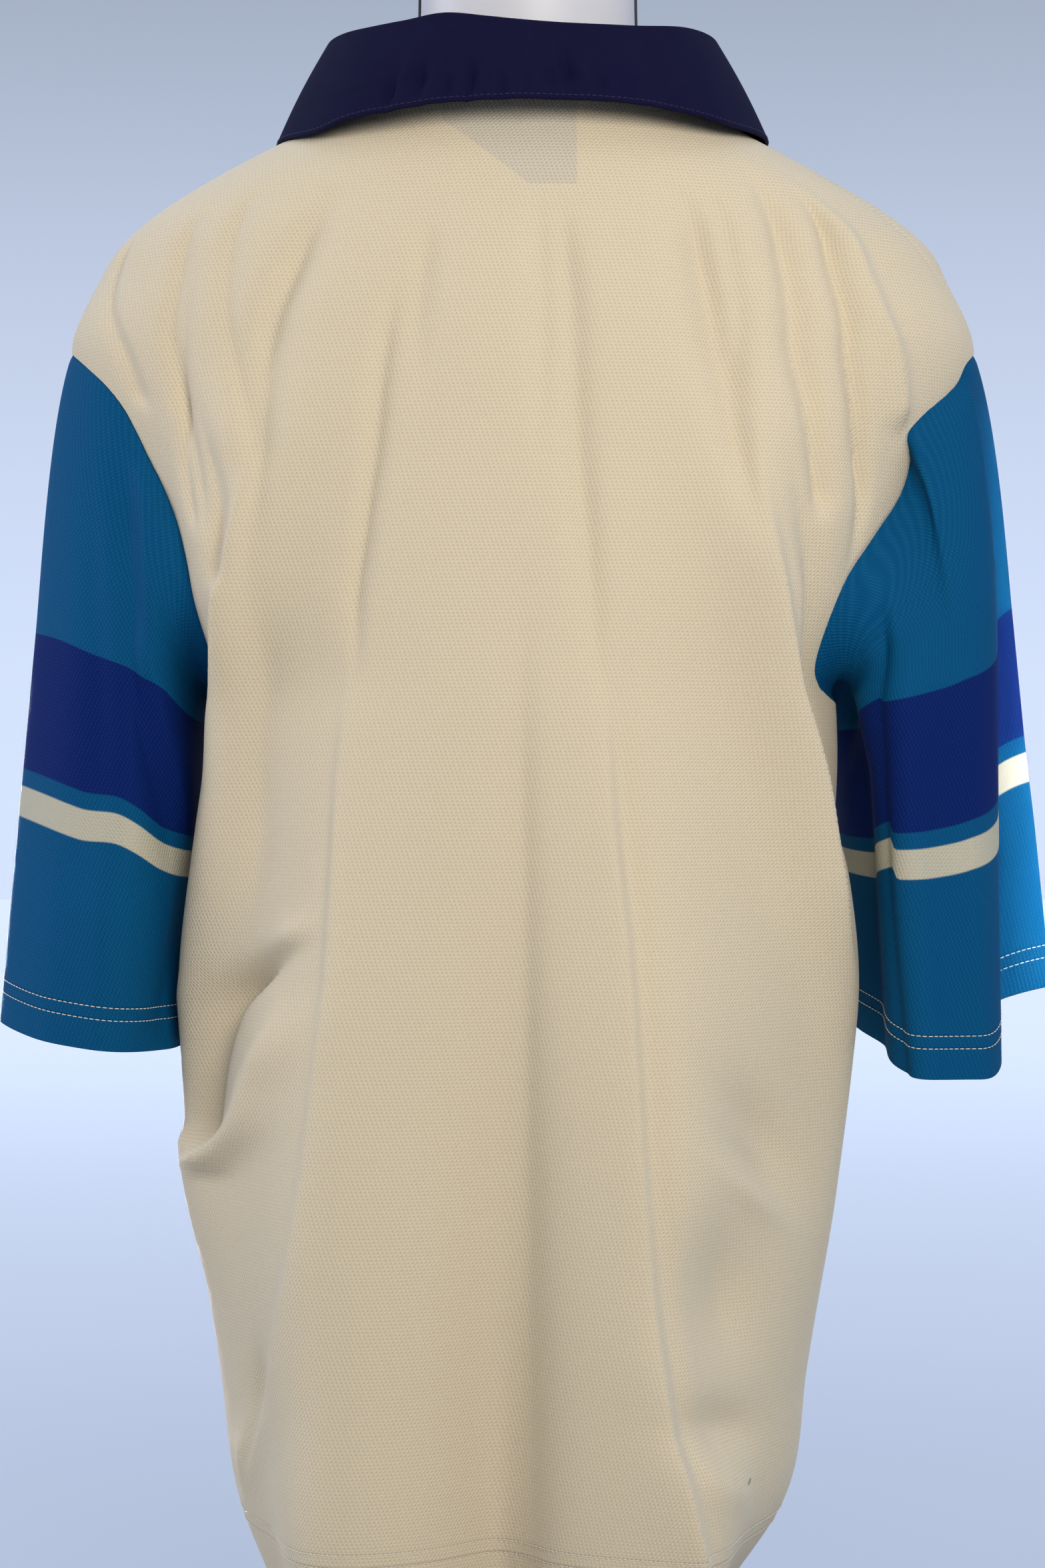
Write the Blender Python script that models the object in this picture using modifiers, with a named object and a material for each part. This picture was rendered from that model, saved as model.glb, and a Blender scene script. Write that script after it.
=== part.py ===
"""A football shirt hung on a limbless dress form that stands on a round base plate.

Metres, +Z up. The shirt's back faces -Y, the wearer's right is +X, and the origin is at the
centre of the base plate's underside. The shirt is a loft: level loops round the body, cut
at the armholes and the neck, a tube for each sleeve, and a folded collar. Every cloth piece
is a closed wall, and the pieces lie GAP apart at their seams.
"""
import bpy
import numpy as np

GAP = 0.0003
CLOTH = 0.0015
COLLAR_CLOTH = 0.0022
LABEL_CLOTH = 0.0010

HEM_HEIGHT = 0.083
ARMPIT_HEIGHT = 0.575
SHOULDER_POINT_HEIGHT = 0.775
NECK_POINT_HEIGHT = 0.918
BACK_NECK_HEIGHT = 0.913
FRONT_NECK_HEIGHT = 0.800
NECK_HALF_WIDTH = 0.094

BODY_STEPS = 12        # rows of cells below the armpits
ARM_STEPS = 12         # rows of cells beside each armhole, and half those round a sleeve
SHOULDER_STEPS = 8     # rows of cells from the shoulder points to the neck
BACK_STEPS = 26        # cells across the back
FRONT_STEPS = 18       # cells across the front
CAP_STEPS = 3          # rows of cells from an armhole to the line where a sleeve hangs free
SLEEVE_STEPS = 5       # rows of cells from that line to the cuff
LABEL_STEPS = (8, 4)   # cells across and up the label
FORM_STEPS = 28        # cells round the form
FORM_SPLIT = 2         # rows of cells between two loops of the form
TURN_STEPS = 36        # cells round each turned piece
NORMAL_TURN = 0.5      # degrees and metres between the points that a normal is found from
NORMAL_RISE = 0.001

# Level loops of the body, each an ellipse with its own width on each side and its own depth
# behind and in front of the side line, which lies at side_y.
BODY_COLUMNS = ("height", "left", "right", "back", "front", "side_y")
BODY_SECTIONS = (
    (0.083, 0.146, 0.122, 0.138, 0.126, 0.014),
    (0.120, 0.160, 0.147, 0.140, 0.130, 0.010),
    (0.200, 0.172, 0.162, 0.136, 0.128, 0.004),
    (0.300, 0.183, 0.174, 0.132, 0.124, -0.002),
    (0.400, 0.180, 0.175, 0.129, 0.120, -0.004),
    (0.500, 0.172, 0.168, 0.128, 0.118, -0.002),
    (0.575, 0.172, 0.169, 0.128, 0.116, 0.000),
    (0.640, 0.203, 0.203, 0.127, 0.113, 0.003),
    (0.700, 0.229, 0.229, 0.125, 0.108, 0.005),
    (0.775, 0.2565, 0.2570, 0.119, 0.100, 0.007),
    (0.812, 0.2425, 0.2430, 0.113, 0.094, 0.007),
    (0.836, 0.2275, 0.2290, 0.107, 0.090, 0.006),
    (0.850, 0.2120, 0.2120, 0.103, 0.087, 0.006),
    (0.876, 0.1700, 0.1680, 0.096, 0.082, 0.005),
    (0.900, 0.1240, 0.1240, 0.085, 0.076, 0.005),
    (0.918, 0.0940, 0.0940, 0.074, 0.070, 0.005),
)

# The armhole's edge on the body: the angle round the body, from the centre of each panel,
# against the climb from the armpit (0) to the shoulder point (1).
ARMHOLE_COLUMNS = ("climb", "back_left", "back_right", "front")
ARMHOLE = (
    (0.000, 90.0, 90.0, 90.0),
    (0.125, 76.0, 72.0, 76.0),
    (0.250, 66.0, 60.0, 67.0),
    (0.375, 60.5, 58.0, 63.0),
    (0.500, 59.5, 62.0, 62.0),
    (0.625, 62.5, 66.0, 63.0),
    (0.750, 64.5, 70.0, 67.0),
    (0.875, 75.0, 79.5, 76.0),
    (1.000, 90.0, 90.0, 90.0),
)

# Folds of the body. Each runs down from top to bottom height along a path, given as angles
# round the body at even steps down (0 the centre of the back, 90 the wearer's right, 180 the
# centre of the front). A ridge has a positive depth and a valley a negative one. Depth grows
# as a power of the way down, and dies out again over the tail, a share of the length.
FOLD_COLUMNS = ("top", "bottom", "path", "spread", "depth", "growth", "tail")
FOLDS = {
    "hem_lobe_left": (0.62, 0.06, (-30.0, -36.0), 15.0, 0.042, 1.2, 0.0),
    "hem_lobe_right": (0.62, 0.06, (16.0, 31.0), 17.0, 0.046, 1.2, 0.0),
    "centre_valley": (0.60, 0.06, (-1.0, -6.5), 10.0, -0.036, 1.3, 0.0),
    "side_ridge_left": (0.78, 0.22, (-32.0, -58.0, -77.0, -78.0), 11.0, 0.028, 0.4, 0.5),
    "side_ridge_right": (0.78, 0.22, (27.0, 52.0, 76.0, 78.0), 11.0, 0.028, 0.4, 0.5),
    "pouch_left": (0.43, 0.24, (-80.0, -84.0), 12.0, 0.008, 0.5, 0.5),
    "front_lobe_left": (0.66, 0.06, (215.0, 214.0), 16.0, 0.034, 1.3, 0.0),
    "front_lobe_right": (0.66, 0.06, (147.0, 144.0), 16.0, 0.036, 1.3, 0.0),
    "front_valley": (0.62, 0.06, (181.0, 183.0), 13.0, -0.026, 1.3, 0.0),
}

# Lines that run down a sleeve, in order round it from the underarm: the share of the way
# round, then the line's place where the sleeve starts to hang free and at the cuff.
SLEEVE_COLUMNS = ("around", "top_x", "top_y", "top_z", "cuff_x", "cuff_y", "cuff_z")
SLEEVE_LINES = {
    "left": (
        (0.000, -0.1790, 0.030, 0.566, -0.1890, 0.030, 0.386),
        (0.125, -0.1880, -0.024, 0.571, -0.1990, -0.026, 0.381),
        (0.250, -0.2140, -0.060, 0.590, -0.2290, -0.060, 0.3825),
        (0.375, -0.2520, -0.044, 0.608, -0.2680, -0.050, 0.388),
        (0.500, -0.2770, 0.000, 0.615, -0.2965, -0.004, 0.396),
        (0.625, -0.2640, 0.046, 0.610, -0.2830, 0.050, 0.394),
        (0.750, -0.2320, 0.066, 0.600, -0.2480, 0.076, 0.391),
        (0.875, -0.1960, 0.052, 0.582, -0.2100, 0.058, 0.389),
    ),
    "right": (
        (0.000, 0.1780, 0.030, 0.561, 0.1890, 0.030, 0.398),
        (0.125, 0.1870, -0.024, 0.565, 0.1990, -0.026, 0.388),
        (0.250, 0.2100, -0.058, 0.578, 0.2290, -0.060, 0.3675),
        (0.330, 0.2420, -0.055, 0.588, 0.2520, -0.060, 0.3670),
        (0.390, 0.2600, -0.036, 0.597, 0.2630, -0.040, 0.373),
        (0.440, 0.2660, -0.006, 0.616, 0.2660, 0.000, 0.402),
        (0.500, 0.2810, 0.016, 0.629, 0.3020, 0.016, 0.414),
        (0.625, 0.2700, 0.050, 0.618, 0.2900, 0.058, 0.410),
        (0.750, 0.2360, 0.066, 0.600, 0.2520, 0.076, 0.404),
        (0.875, 0.1980, 0.052, 0.580, 0.2120, 0.058, 0.400),
    ),
}

# Between the armhole and that line the sleeve is a curve, with these slopes at its two ends.
SEAM_LEAVE = (1.3, 1.3, 0.7)    # times the way from the armhole to the line, in x, y and z
SEAM_PUFF = 0.012               # metres more, straight off the body's surface
SLEEVE_HANG = 0.5               # times the way from the line to the cuff

# The collar's fold and outer edge, from the centre back (0) to its front end (1), for the
# wearer's right. The left is its mirror. Its seam follows the panels' neck edges.
COLLAR_COLUMNS = ("way", "fold_x", "fold_y", "fold_z", "edge_x", "edge_y", "edge_z")
COLLAR_GUIDES = (
    (0.00, 0.000, -0.082, 0.9465, 0.000, -0.108, 0.9000),
    (0.15, 0.052, -0.073, 0.9480, 0.067, -0.096, 0.8995),
    (0.28, 0.091, -0.046, 0.9510, 0.115, -0.064, 0.8975),
    (0.40, 0.1075, 0.002, 0.9530, 0.140, -0.002, 0.8960),
    (0.55, 0.096, 0.048, 0.9430, 0.136, 0.064, 0.8830),
    (0.72, 0.064, 0.085, 0.9080, 0.112, 0.098, 0.8480),
    (0.88, 0.028, 0.107, 0.8530, 0.078, 0.112, 0.8000),
    (1.00, 0.004, 0.112, 0.8120, 0.050, 0.117, 0.7640),
)
COLLAR_SHOULDER = 0.40      # the way round at which the collar crosses the shoulder seam
COLLAR_END = 0.03           # its ends stop this share of the neck's half width off the centre
FOLD_RADIUS = 0.004

# The plain label behind the back panel, below the neck seam.
LABEL_LEFT = -0.044
LABEL_RIGHT = 0.0295
LABEL_TOP = 0.908
LABEL_BOTTOM = 0.8545
LABEL_CORNER_X = 0.0035     # the lower left corner is turned up from here
LABEL_CORNER_HEIGHT = 0.893
LABEL_CLEARANCE = 0.0010    # clears the panel, whose cells are wider than the label's

# The dress form: level loops round a torso with no arms, and a round neck.
FORM_COLUMNS = ("height", "half_width", "back", "front", "centre_x", "centre_y")
FORM_SECTIONS = (
    (0.150, 0.1180, 0.082, 0.086, 0.0000, 0.000),
    (0.170, 0.1230, 0.087, 0.090, 0.0000, 0.000),
    (0.260, 0.1260, 0.091, 0.092, 0.0000, 0.000),
    (0.390, 0.1120, 0.080, 0.086, 0.0000, 0.000),
    (0.520, 0.1300, 0.094, 0.098, 0.0000, 0.000),
    (0.620, 0.1450, 0.104, 0.101, 0.0000, 0.000),
    (0.700, 0.1680, 0.108, 0.097, 0.0000, 0.003),
    (0.760, 0.2000, 0.107, 0.090, 0.0000, 0.005),
    (0.812, 0.2230, 0.100, 0.076, 0.0000, 0.004),
    (0.836, 0.2180, 0.096, 0.070, 0.0000, 0.002),
    (0.850, 0.2055, 0.094, 0.067, 0.0000, 0.002),
    (0.876, 0.1630, 0.087, 0.062, 0.0000, 0.001),
    (0.900, 0.1165, 0.075, 0.056, 0.0000, 0.001),
    (0.918, 0.0850, 0.065, 0.054, 0.0009, 0.001),
    (0.940, 0.0660, 0.058, 0.056, 0.0027, 0.000),
    (0.960, 0.0610, 0.056, 0.054, 0.0030, 0.000),
    (1.000, 0.0605, 0.056, 0.054, 0.0030, 0.000),
)
CAP_HEIGHT = 0.012
CAP_COLUMNS = ("radius", "height")     # shares of the neck's half width and of CAP_HEIGHT
CAP_PROFILE = ((0.0, 1.0), (0.70, 0.85), (0.94, 0.45), (1.0, 0.0), (0.0, 0.0))
TRIM_WIDTH = 0.0016
TRIM_BOTTOM = 0.945
TRIM_TOP = 0.998
TRIM_POINTS = 6
TRIM_CLEARANCE = 0.0006
POLE_RADIUS = 0.0125
BASE_RADIUS = 0.150
BASE_THICKNESS = 0.012
BASE_BEVEL = 0.003


def spline(knots, values, at):
    """A smooth curve through a table's rows that never swings past them."""
    knots = np.asarray(knots, float)
    values = np.asarray(values, float)
    at = np.clip(at, knots[0], knots[-1])
    steps = np.diff(knots)
    slopes = np.diff(values) / steps
    tangents = np.empty_like(values)
    tangents[0] = slopes[0]
    tangents[-1] = slopes[-1]
    before = slopes[:-1]
    after = slopes[1:]
    mean = (before * steps[1:] + after * steps[:-1]) / (steps[1:] + steps[:-1])
    limit = 3.0 * np.minimum(np.abs(before), np.abs(after))
    tangents[1:-1] = np.where(before * after > 0.0, np.clip(mean, -limit, limit), 0.0)
    row = np.clip(np.searchsorted(knots, at, side="right") - 1, 0, len(steps) - 1)
    t = (at - knots[row]) / steps[row]
    rise = values[row] * (2 * t**3 - 3 * t**2 + 1) + values[row + 1] * (3 * t**2 - 2 * t**3)
    lean = tangents[row] * (t**3 - 2 * t**2 + t) + tangents[row + 1] * (t**3 - t**2)
    return rise + lean * steps[row]


def column(names, rows, name):
    return [row[names.index(name)] for row in rows]


def body_column(name, height):
    heights = column(BODY_COLUMNS, BODY_SECTIONS, "height")
    return spline(heights, column(BODY_COLUMNS, BODY_SECTIONS, name), height)


def smooth_step(t):
    t = np.clip(t, 0.0, 1.0)
    return t * t * (3.0 - 2.0 * t)


def fold_height(fold, angle, height):
    """How far one fold lifts the cloth, at angles in degrees and heights in metres."""
    top, bottom, path, spread, depth, growth, tail = fold
    way = np.clip((top - height) / (top - bottom), 0.0, 1.0)
    middle = spline(np.linspace(0.0, 1.0, len(path)), path, way)
    across = (angle - middle + 180.0) % 360.0 - 180.0
    lift = depth * way**growth * np.exp(-((across / spread) ** 2))
    if tail > 0.0:
        lift = lift * smooth_step((1.0 - way) / tail)
    return lift


def body_point(angle, height):
    """Points of the body's outer face. Angle 0 is the centre back and 90 the wearer's right."""
    turn = np.radians(angle)
    sine = np.sin(turn)
    cosine = np.cos(turn)
    width = np.where(sine > 0, body_column("right", height), body_column("left", height))
    depth = np.where(cosine > 0, body_column("back", height), body_column("front", height))
    lift = sum(fold_height(fold, angle, height) for fold in FOLDS.values())
    out_x = sine * depth
    out_y = -cosine * width
    out = np.hypot(out_x, out_y)
    x = width * sine + lift * out_x / out
    y = body_column("side_y", height) - depth * cosine + lift * out_y / out
    return np.stack([x, y, height + 0.0 * x], axis=-1)


def unit(vectors):
    return vectors / np.linalg.norm(vectors, axis=-1, keepdims=True)


def body_normal(angle, height):
    """Unit normals of the body's outer face, from points a small step apart."""
    height = np.minimum(height, NECK_POINT_HEIGHT - NORMAL_RISE)
    along = body_point(angle + NORMAL_TURN, height) - body_point(angle - NORMAL_TURN, height)
    up = body_point(angle, height + NORMAL_RISE) - body_point(angle, height - NORMAL_RISE)
    return unit(np.cross(along, up))


def towards_middle(points, normals, along):
    """Unit vectors that lie in a surface, square to an edge and towards its loop's middle."""
    off = unit(np.cross(normals, along))
    inward = np.sum(off * (points.mean(axis=0) - points), axis=-1, keepdims=True)
    return np.where(inward > 0, off, -off)


def armhole_climb():
    return np.linspace(0.0, 1.0, ARM_STEPS + 1)


def armhole_height(climb):
    half_height = (SHOULDER_POINT_HEIGHT - ARMPIT_HEIGHT) / 2
    return ARMPIT_HEIGHT + half_height * (1.0 - np.cos(np.pi * climb))


def armhole_angle(name, climb):
    climbs = column(ARMHOLE_COLUMNS, ARMHOLE, "climb")
    return spline(climbs, column(ARMHOLE_COLUMNS, ARMHOLE, name), climb)


def shell(name, outer, inner, closed=False):
    """A wall between two grids of points. A closed grid joins its last column to its first."""
    rows, columns = outer.shape[:2]
    points = np.concatenate([outer.reshape(-1, 3), inner.reshape(-1, 3)])
    below = rows * columns
    faces = []
    wrap = columns if closed else columns - 1
    for row in range(rows - 1):
        for col in range(wrap):
            a = row * columns + col
            b = row * columns + (col + 1) % columns
            c = b + columns
            d = a + columns
            faces.append((a, b, c, d))
            faces.append((below + a, below + d, below + c, below + b))
    for col in range(wrap):
        a = col
        b = (col + 1) % columns
        faces.append((b, a, below + a, below + b))
        a += (rows - 1) * columns
        b += (rows - 1) * columns
        faces.append((a, b, below + b, below + a))
    if not closed:
        for row in range(rows - 1):
            a = row * columns
            b = a + columns
            faces.append((a, b, below + b, below + a))
            a += columns - 1
            b += columns - 1
            faces.append((b, a, below + a, below + b))
    return mesh_object(name, points, faces)


def mesh_object(name, points, faces):
    mesh = bpy.data.meshes.new(name)
    mesh.from_pydata([tuple(point) for point in points.tolist()], [], faces)
    mesh.validate()
    mesh.shade_smooth()
    part = bpy.data.objects.new(name, mesh)
    collection.objects.link(part)
    return part


def finish(part, material):
    part.data.materials.append(material)
    return part


def make_material(name, colour, roughness, metallic=0.0):
    material = bpy.data.materials.new(name)
    material.use_nodes = True
    shader = material.node_tree.nodes["Principled BSDF"]
    shader.inputs["Base Color"].default_value = (*colour, 1.0)
    shader.inputs["Roughness"].default_value = roughness
    shader.inputs["Metallic"].default_value = metallic
    return material


def panel_grid(side):
    """The angles and heights of a panel's grid, from the hem up to the neck."""
    front = side == "front"
    steps = FRONT_STEPS if front else BACK_STEPS
    across = np.linspace(-1.0, 1.0, steps + 1)
    lower = np.linspace(HEM_HEIGHT, ARMPIT_HEIGHT, BODY_STEPS + 1)[:-1]
    climb = armhole_climb()
    left = armhole_angle("front" if front else "back_left", climb)
    right = armhole_angle("front" if front else "back_right", climb)
    angles = [90.0 * across for _ in lower]
    heights = [height + 0.0 * across for height in lower]
    for left_edge, right_edge, height in zip(left, right, armhole_height(climb)):
        angles.append(np.where(across < 0, left_edge, right_edge) * across)
        heights.append(height + 0.0 * across)
    top_angle, top_height = neckline(across, front)
    for step in range(1, SHOULDER_STEPS + 1):
        way = step / SHOULDER_STEPS
        angles.append(90.0 * across * (1.0 - way**2) + top_angle * way**2)
        heights.append(SHOULDER_POINT_HEIGHT + (top_height - SHOULDER_POINT_HEIGHT) * way)
    return np.array(angles), np.array(heights)


def neckline(across, front):
    """Angle and height of a panel's neck edge: a shallow curve behind, a V in front."""
    if not front:
        height = BACK_NECK_HEIGHT + (NECK_POINT_HEIGHT - BACK_NECK_HEIGHT) * across**2
        return 90.0 * across, height
    out = np.abs(across)
    height = FRONT_NECK_HEIGHT + (NECK_POINT_HEIGHT - FRONT_NECK_HEIGHT) * out
    reach = NECK_HALF_WIDTH * out / body_column("right", height)
    return np.sign(across) * np.degrees(np.arcsin(np.clip(reach, 0.0, 1.0))), height


def panel_faces(side, depth):
    """A panel's grid of points, depth metres inside its outer face, with its edges set back."""
    angles, heights = panel_grid(side)
    if side == "front":
        angles = 180.0 - angles[:, ::-1]
    points = body_point(angles, heights) - depth * body_normal(angles, heights)
    ahead = body_point(angles + NORMAL_TURN, heights)
    set_back = unit(ahead - body_point(angles - NORMAL_TURN, heights))
    beside_armhole = range(BODY_STEPS + 1, BODY_STEPS + ARM_STEPS)
    sewn = [row for row in range(len(points)) if row not in beside_armhole]
    points[sewn, 0] += set_back[sewn, 0] * GAP / 2
    points[sewn, -1] -= set_back[sewn, -1] * GAP / 2
    return points


def armhole_loop(side):
    """Angles and heights round an armhole: up its back edge and down its front edge."""
    climb = armhole_climb()
    back = armhole_angle("back_" + side, climb)
    front = 180.0 - armhole_angle("front", climb)
    angles = np.concatenate([back, front[-2:0:-1]])
    heights = np.concatenate([armhole_height(climb), armhole_height(climb)[-2:0:-1]])
    return angles * (1.0 if side == "right" else -1.0), heights


def sleeve_start(side, depth):
    """The sleeve's first ring: the armhole's edge, moved GAP off the body's panels."""
    angles, heights = armhole_loop(side)
    points = body_point(angles, heights)
    normals = body_normal(angles, heights)
    along = np.roll(points, -1, axis=0) - np.roll(points, 1, axis=0)
    return points + towards_middle(points, normals, along) * GAP - depth * normals


def ring_spline(around, values, at):
    """The spline of a closed ring, whose table of shares round it starts again after 1."""
    around = np.asarray(around, float)
    values = np.asarray(values, float)
    knots = np.concatenate([around[-2:] - 1.0, around, around[:2] + 1.0])
    return spline(knots, np.concatenate([values[-2:], values, values[:2]]), at)


def sleeve_ring(side, name):
    """The ring through the sleeve lines' places of one name, top or cuff."""
    lines = SLEEVE_LINES[side]
    around = column(SLEEVE_COLUMNS, lines, "around")
    share = np.arange(2 * ARM_STEPS) / (2 * ARM_STEPS)
    places = [column(SLEEVE_COLUMNS, lines, name + "_" + axis) for axis in "xyz"]
    return np.stack([ring_spline(around, values, share) for values in places], axis=-1)


def sleeve_rings(side):
    """Outer points of a sleeve's rings, from the armhole to the cuff."""
    start = sleeve_start(side, 0.0)
    top = sleeve_ring(side, "top")
    cuff = sleeve_ring(side, "cuff")
    hang = (cuff - top) * SLEEVE_HANG
    leave = (top - start) * SEAM_LEAVE + SEAM_PUFF * body_normal(*armhole_loop(side))
    rings = []
    for step in range(CAP_STEPS):
        t = step / CAP_STEPS
        rings.append(
            start * (2 * t**3 - 3 * t**2 + 1) + leave * (t**3 - 2 * t**2 + t)
            + top * (3 * t**2 - 2 * t**3) + hang * (t**3 - t**2))
    for step in range(SLEEVE_STEPS + 1):
        rings.append(top + (cuff - top) * step / SLEEVE_STEPS)
    return np.array(rings)


def grid_normals(points):
    """Unit normals of a grid whose columns close on themselves."""
    around = np.roll(points, -1, axis=1) - np.roll(points, 1, axis=1)
    down = np.gradient(points, axis=0)
    return unit(np.cross(down, around))


def make_sleeve(side, material):
    outer = sleeve_rings(side)
    normals = grid_normals(outer)
    middle = outer.mean(axis=1, keepdims=True)
    if np.sum(normals * (outer - middle)) < 0:
        normals = -normals
    inner = outer - CLOTH * normals
    inner[0] = sleeve_start(side, CLOTH)
    if side == "right":
        outer = outer[:, ::-1]
        inner = inner[:, ::-1]
    return finish(shell("sleeve_" + side, outer, inner, closed=True), material)


def make_panel(side, material):
    outer = panel_faces(side, 0.0)
    return finish(shell(side + "_panel", outer, panel_faces(side, CLOTH)), material)


def collar_ways():
    """The ways of the collar's columns, which meet the panels' columns at the seam."""
    ahead = np.linspace(1.0, COLLAR_SHOULDER, FRONT_STEPS // 2 + 1)[:-1]
    behind = np.linspace(COLLAR_SHOULDER, -COLLAR_SHOULDER, BACK_STEPS + 1)
    return np.concatenate([ahead, behind, -ahead[::-1]])


def collar_seam(way):
    """The collar's seam, just clear of the panels' neck edges: 0 centre back, 1 the right end."""
    out = np.abs(way)
    hand = np.sign(way)
    back_angle, back_height = neckline(out / COLLAR_SHOULDER, False)
    left = (1.0 - out) / (1.0 - COLLAR_SHOULDER)
    front_angle, front_height = neckline(np.maximum(left, COLLAR_END), True)
    behind = out < COLLAR_SHOULDER
    angle = np.where(behind, back_angle, 180.0 - front_angle) * hand
    height = np.where(behind, back_height, front_height)
    points = body_point(angle, height)
    normals = body_normal(angle, height)
    off = towards_middle(points, normals, np.gradient(points, axis=0))
    return points + (off + normals) * GAP


def collar_guide(name, way):
    """Points of the collar's fold or edge, with the way measured as for its seam."""
    ways = column(COLLAR_COLUMNS, COLLAR_GUIDES, "way")
    places = [column(COLLAR_COLUMNS, COLLAR_GUIDES, name + "_" + axis) for axis in "xyz"]
    points = np.stack([spline(ways, values, np.abs(way)) for values in places], axis=-1)
    points[:, 0] *= np.sign(way)
    return points


def collar_face(depth):
    """The collar's visible face, or the face depth metres under it, as rows from seam to edge.

    The stand rises from the seam to a round fold, and the fall drops from there to the edge.
    """
    way = collar_ways()
    seam = collar_seam(way)
    fold = collar_guide("fold", way)
    edge = collar_guide("edge", way)
    along = np.gradient(fold, axis=0)
    stand = unit(fold - seam)
    fall = unit(edge - fold)
    stand_out = unit(np.cross(stand, along))
    stand_out *= -np.sign(np.sum(stand_out * fall, axis=-1, keepdims=True))
    fall_out = unit(np.cross(along, fall))
    fall_out *= -np.sign(np.sum(fall_out * stand_out, axis=-1, keepdims=True))
    crest_out = unit(stand_out + fall_out)
    middle = fold - crest_out * FOLD_RADIUS
    stand_top = middle + stand_out * FOLD_RADIUS
    fall_top = middle + fall_out * FOLD_RADIUS
    return np.array([
        seam - stand_out * depth,
        (seam + stand_top) / 2 - stand_out * depth,
        stand_top - stand_out * depth,
        fold - crest_out * depth,
        fall_top - fall_out * depth,
        (fall_top * 2 + edge) / 3 - fall_out * depth,
        (fall_top + edge * 2) / 3 - fall_out * depth,
        edge - fall_out * depth,
    ])


def make_collar(material):
    return finish(shell("collar", collar_face(0.0), collar_face(COLLAR_CLOTH)), material)


def make_label(material):
    cells_across, cells_up = LABEL_STEPS
    across = np.linspace(0.0, 1.0, cells_across + 1)
    x = LABEL_LEFT + (LABEL_RIGHT - LABEL_LEFT) * across
    slant = np.clip((LABEL_CORNER_X - x) / (LABEL_CORNER_X - LABEL_LEFT), 0.0, 1.0)
    bottom = LABEL_BOTTOM + (LABEL_CORNER_HEIGHT - LABEL_BOTTOM) * slant
    rows = np.linspace(0.0, 1.0, cells_up + 1)[:, None]
    height = bottom + (LABEL_TOP - bottom) * rows
    angle = np.degrees(np.arcsin(x / body_column("right", height)))
    points = body_point(angle, height)
    normals = body_normal(angle, height)
    face = points - (CLOTH + LABEL_CLEARANCE) * normals
    return finish(shell("neck_label", face, face - LABEL_CLOTH * normals), material)


def form_column(name, height):
    heights = column(FORM_COLUMNS, FORM_SECTIONS, "height")
    return spline(heights, column(FORM_COLUMNS, FORM_SECTIONS, name), height)


def form_loop(height, share):
    turn = 2 * np.pi * share
    depth = np.where(np.cos(turn) > 0, form_column("back", height), form_column("front", height))
    x = form_column("centre_x", height) + form_column("half_width", height) * np.sin(turn)
    y = form_column("centre_y", height) - depth * np.cos(turn)
    return np.stack([x, y, height + 0.0 * x], axis=-1)


def make_form(material):
    """The torso and neck, one closed loft with flat ends."""
    share = np.arange(FORM_STEPS) / FORM_STEPS
    loops = column(FORM_COLUMNS, FORM_SECTIONS, "height")
    rows = np.arange(FORM_SPLIT * (len(loops) - 1) + 1) / FORM_SPLIT
    heights = np.interp(rows, np.arange(len(loops)), loops)
    points = np.concatenate([form_loop(height, share) for height in heights])
    faces = []
    for row in range(len(heights) - 1):
        for col in range(FORM_STEPS):
            a = row * FORM_STEPS + col
            b = row * FORM_STEPS + (col + 1) % FORM_STEPS
            faces.append((a, b, b + FORM_STEPS, a + FORM_STEPS))
    faces.append(tuple(range(FORM_STEPS))[::-1])
    top = (len(heights) - 1) * FORM_STEPS
    faces.append(tuple(top + col for col in range(FORM_STEPS)))
    return finish(mesh_object("form_torso", points, faces), material)


def make_turned(name, profile, material):
    """A solid turned about the Z axis from (radius, height) points that start and end on it."""
    mesh = bpy.data.meshes.new(name)
    edges = [(index, index + 1) for index in range(len(profile) - 1)]
    mesh.from_pydata([(radius, 0.0, height) for radius, height in profile], edges, [])
    part = bpy.data.objects.new(name, mesh)
    collection.objects.link(part)
    screw = part.modifiers.new("turn", "SCREW")
    screw.steps = TURN_STEPS
    screw.render_steps = TURN_STEPS
    screw.merge_threshold = 0.0001
    screw.use_merge_vertices = True
    return finish(part, material)


def make_cap(material):
    """The rounded cap on the neck, as wide and as deep as the form's last loop."""
    top = dict(zip(FORM_COLUMNS, FORM_SECTIONS[-1]))
    low = top["height"] + GAP
    radius = top["half_width"]
    profile = [(share * radius, low + rise * CAP_HEIGHT) for share, rise in CAP_PROFILE]
    cap = make_turned("form_neck_cap", profile, material)
    cap.location.x = top["centre_x"]
    cap.scale.y = (top["back"] + top["front"]) / 2 / radius
    return cap


def make_trim(side, material):
    """The dark cord that trims the side seam of the form's neck."""
    name = "form_trim_" + side
    hand = 1.0 if side == "right" else -1.0
    off = TRIM_WIDTH / 2 + TRIM_CLEARANCE
    curve = bpy.data.curves.new(name, "CURVE")
    curve.dimensions = "3D"
    curve.bevel_depth = TRIM_WIDTH / 2
    curve.bevel_resolution = 1
    curve.use_fill_caps = True
    line = curve.splines.new("POLY")
    line.points.add(TRIM_POINTS - 1)
    for point, height in zip(line.points, np.linspace(TRIM_BOTTOM, TRIM_TOP, TRIM_POINTS)):
        x, y, z = form_loop(height, 0.25 * hand)
        point.co = (x + hand * off, y, z, 1.0)
    part = bpy.data.objects.new(name, curve)
    collection.objects.link(part)
    return finish(part, material)


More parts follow.
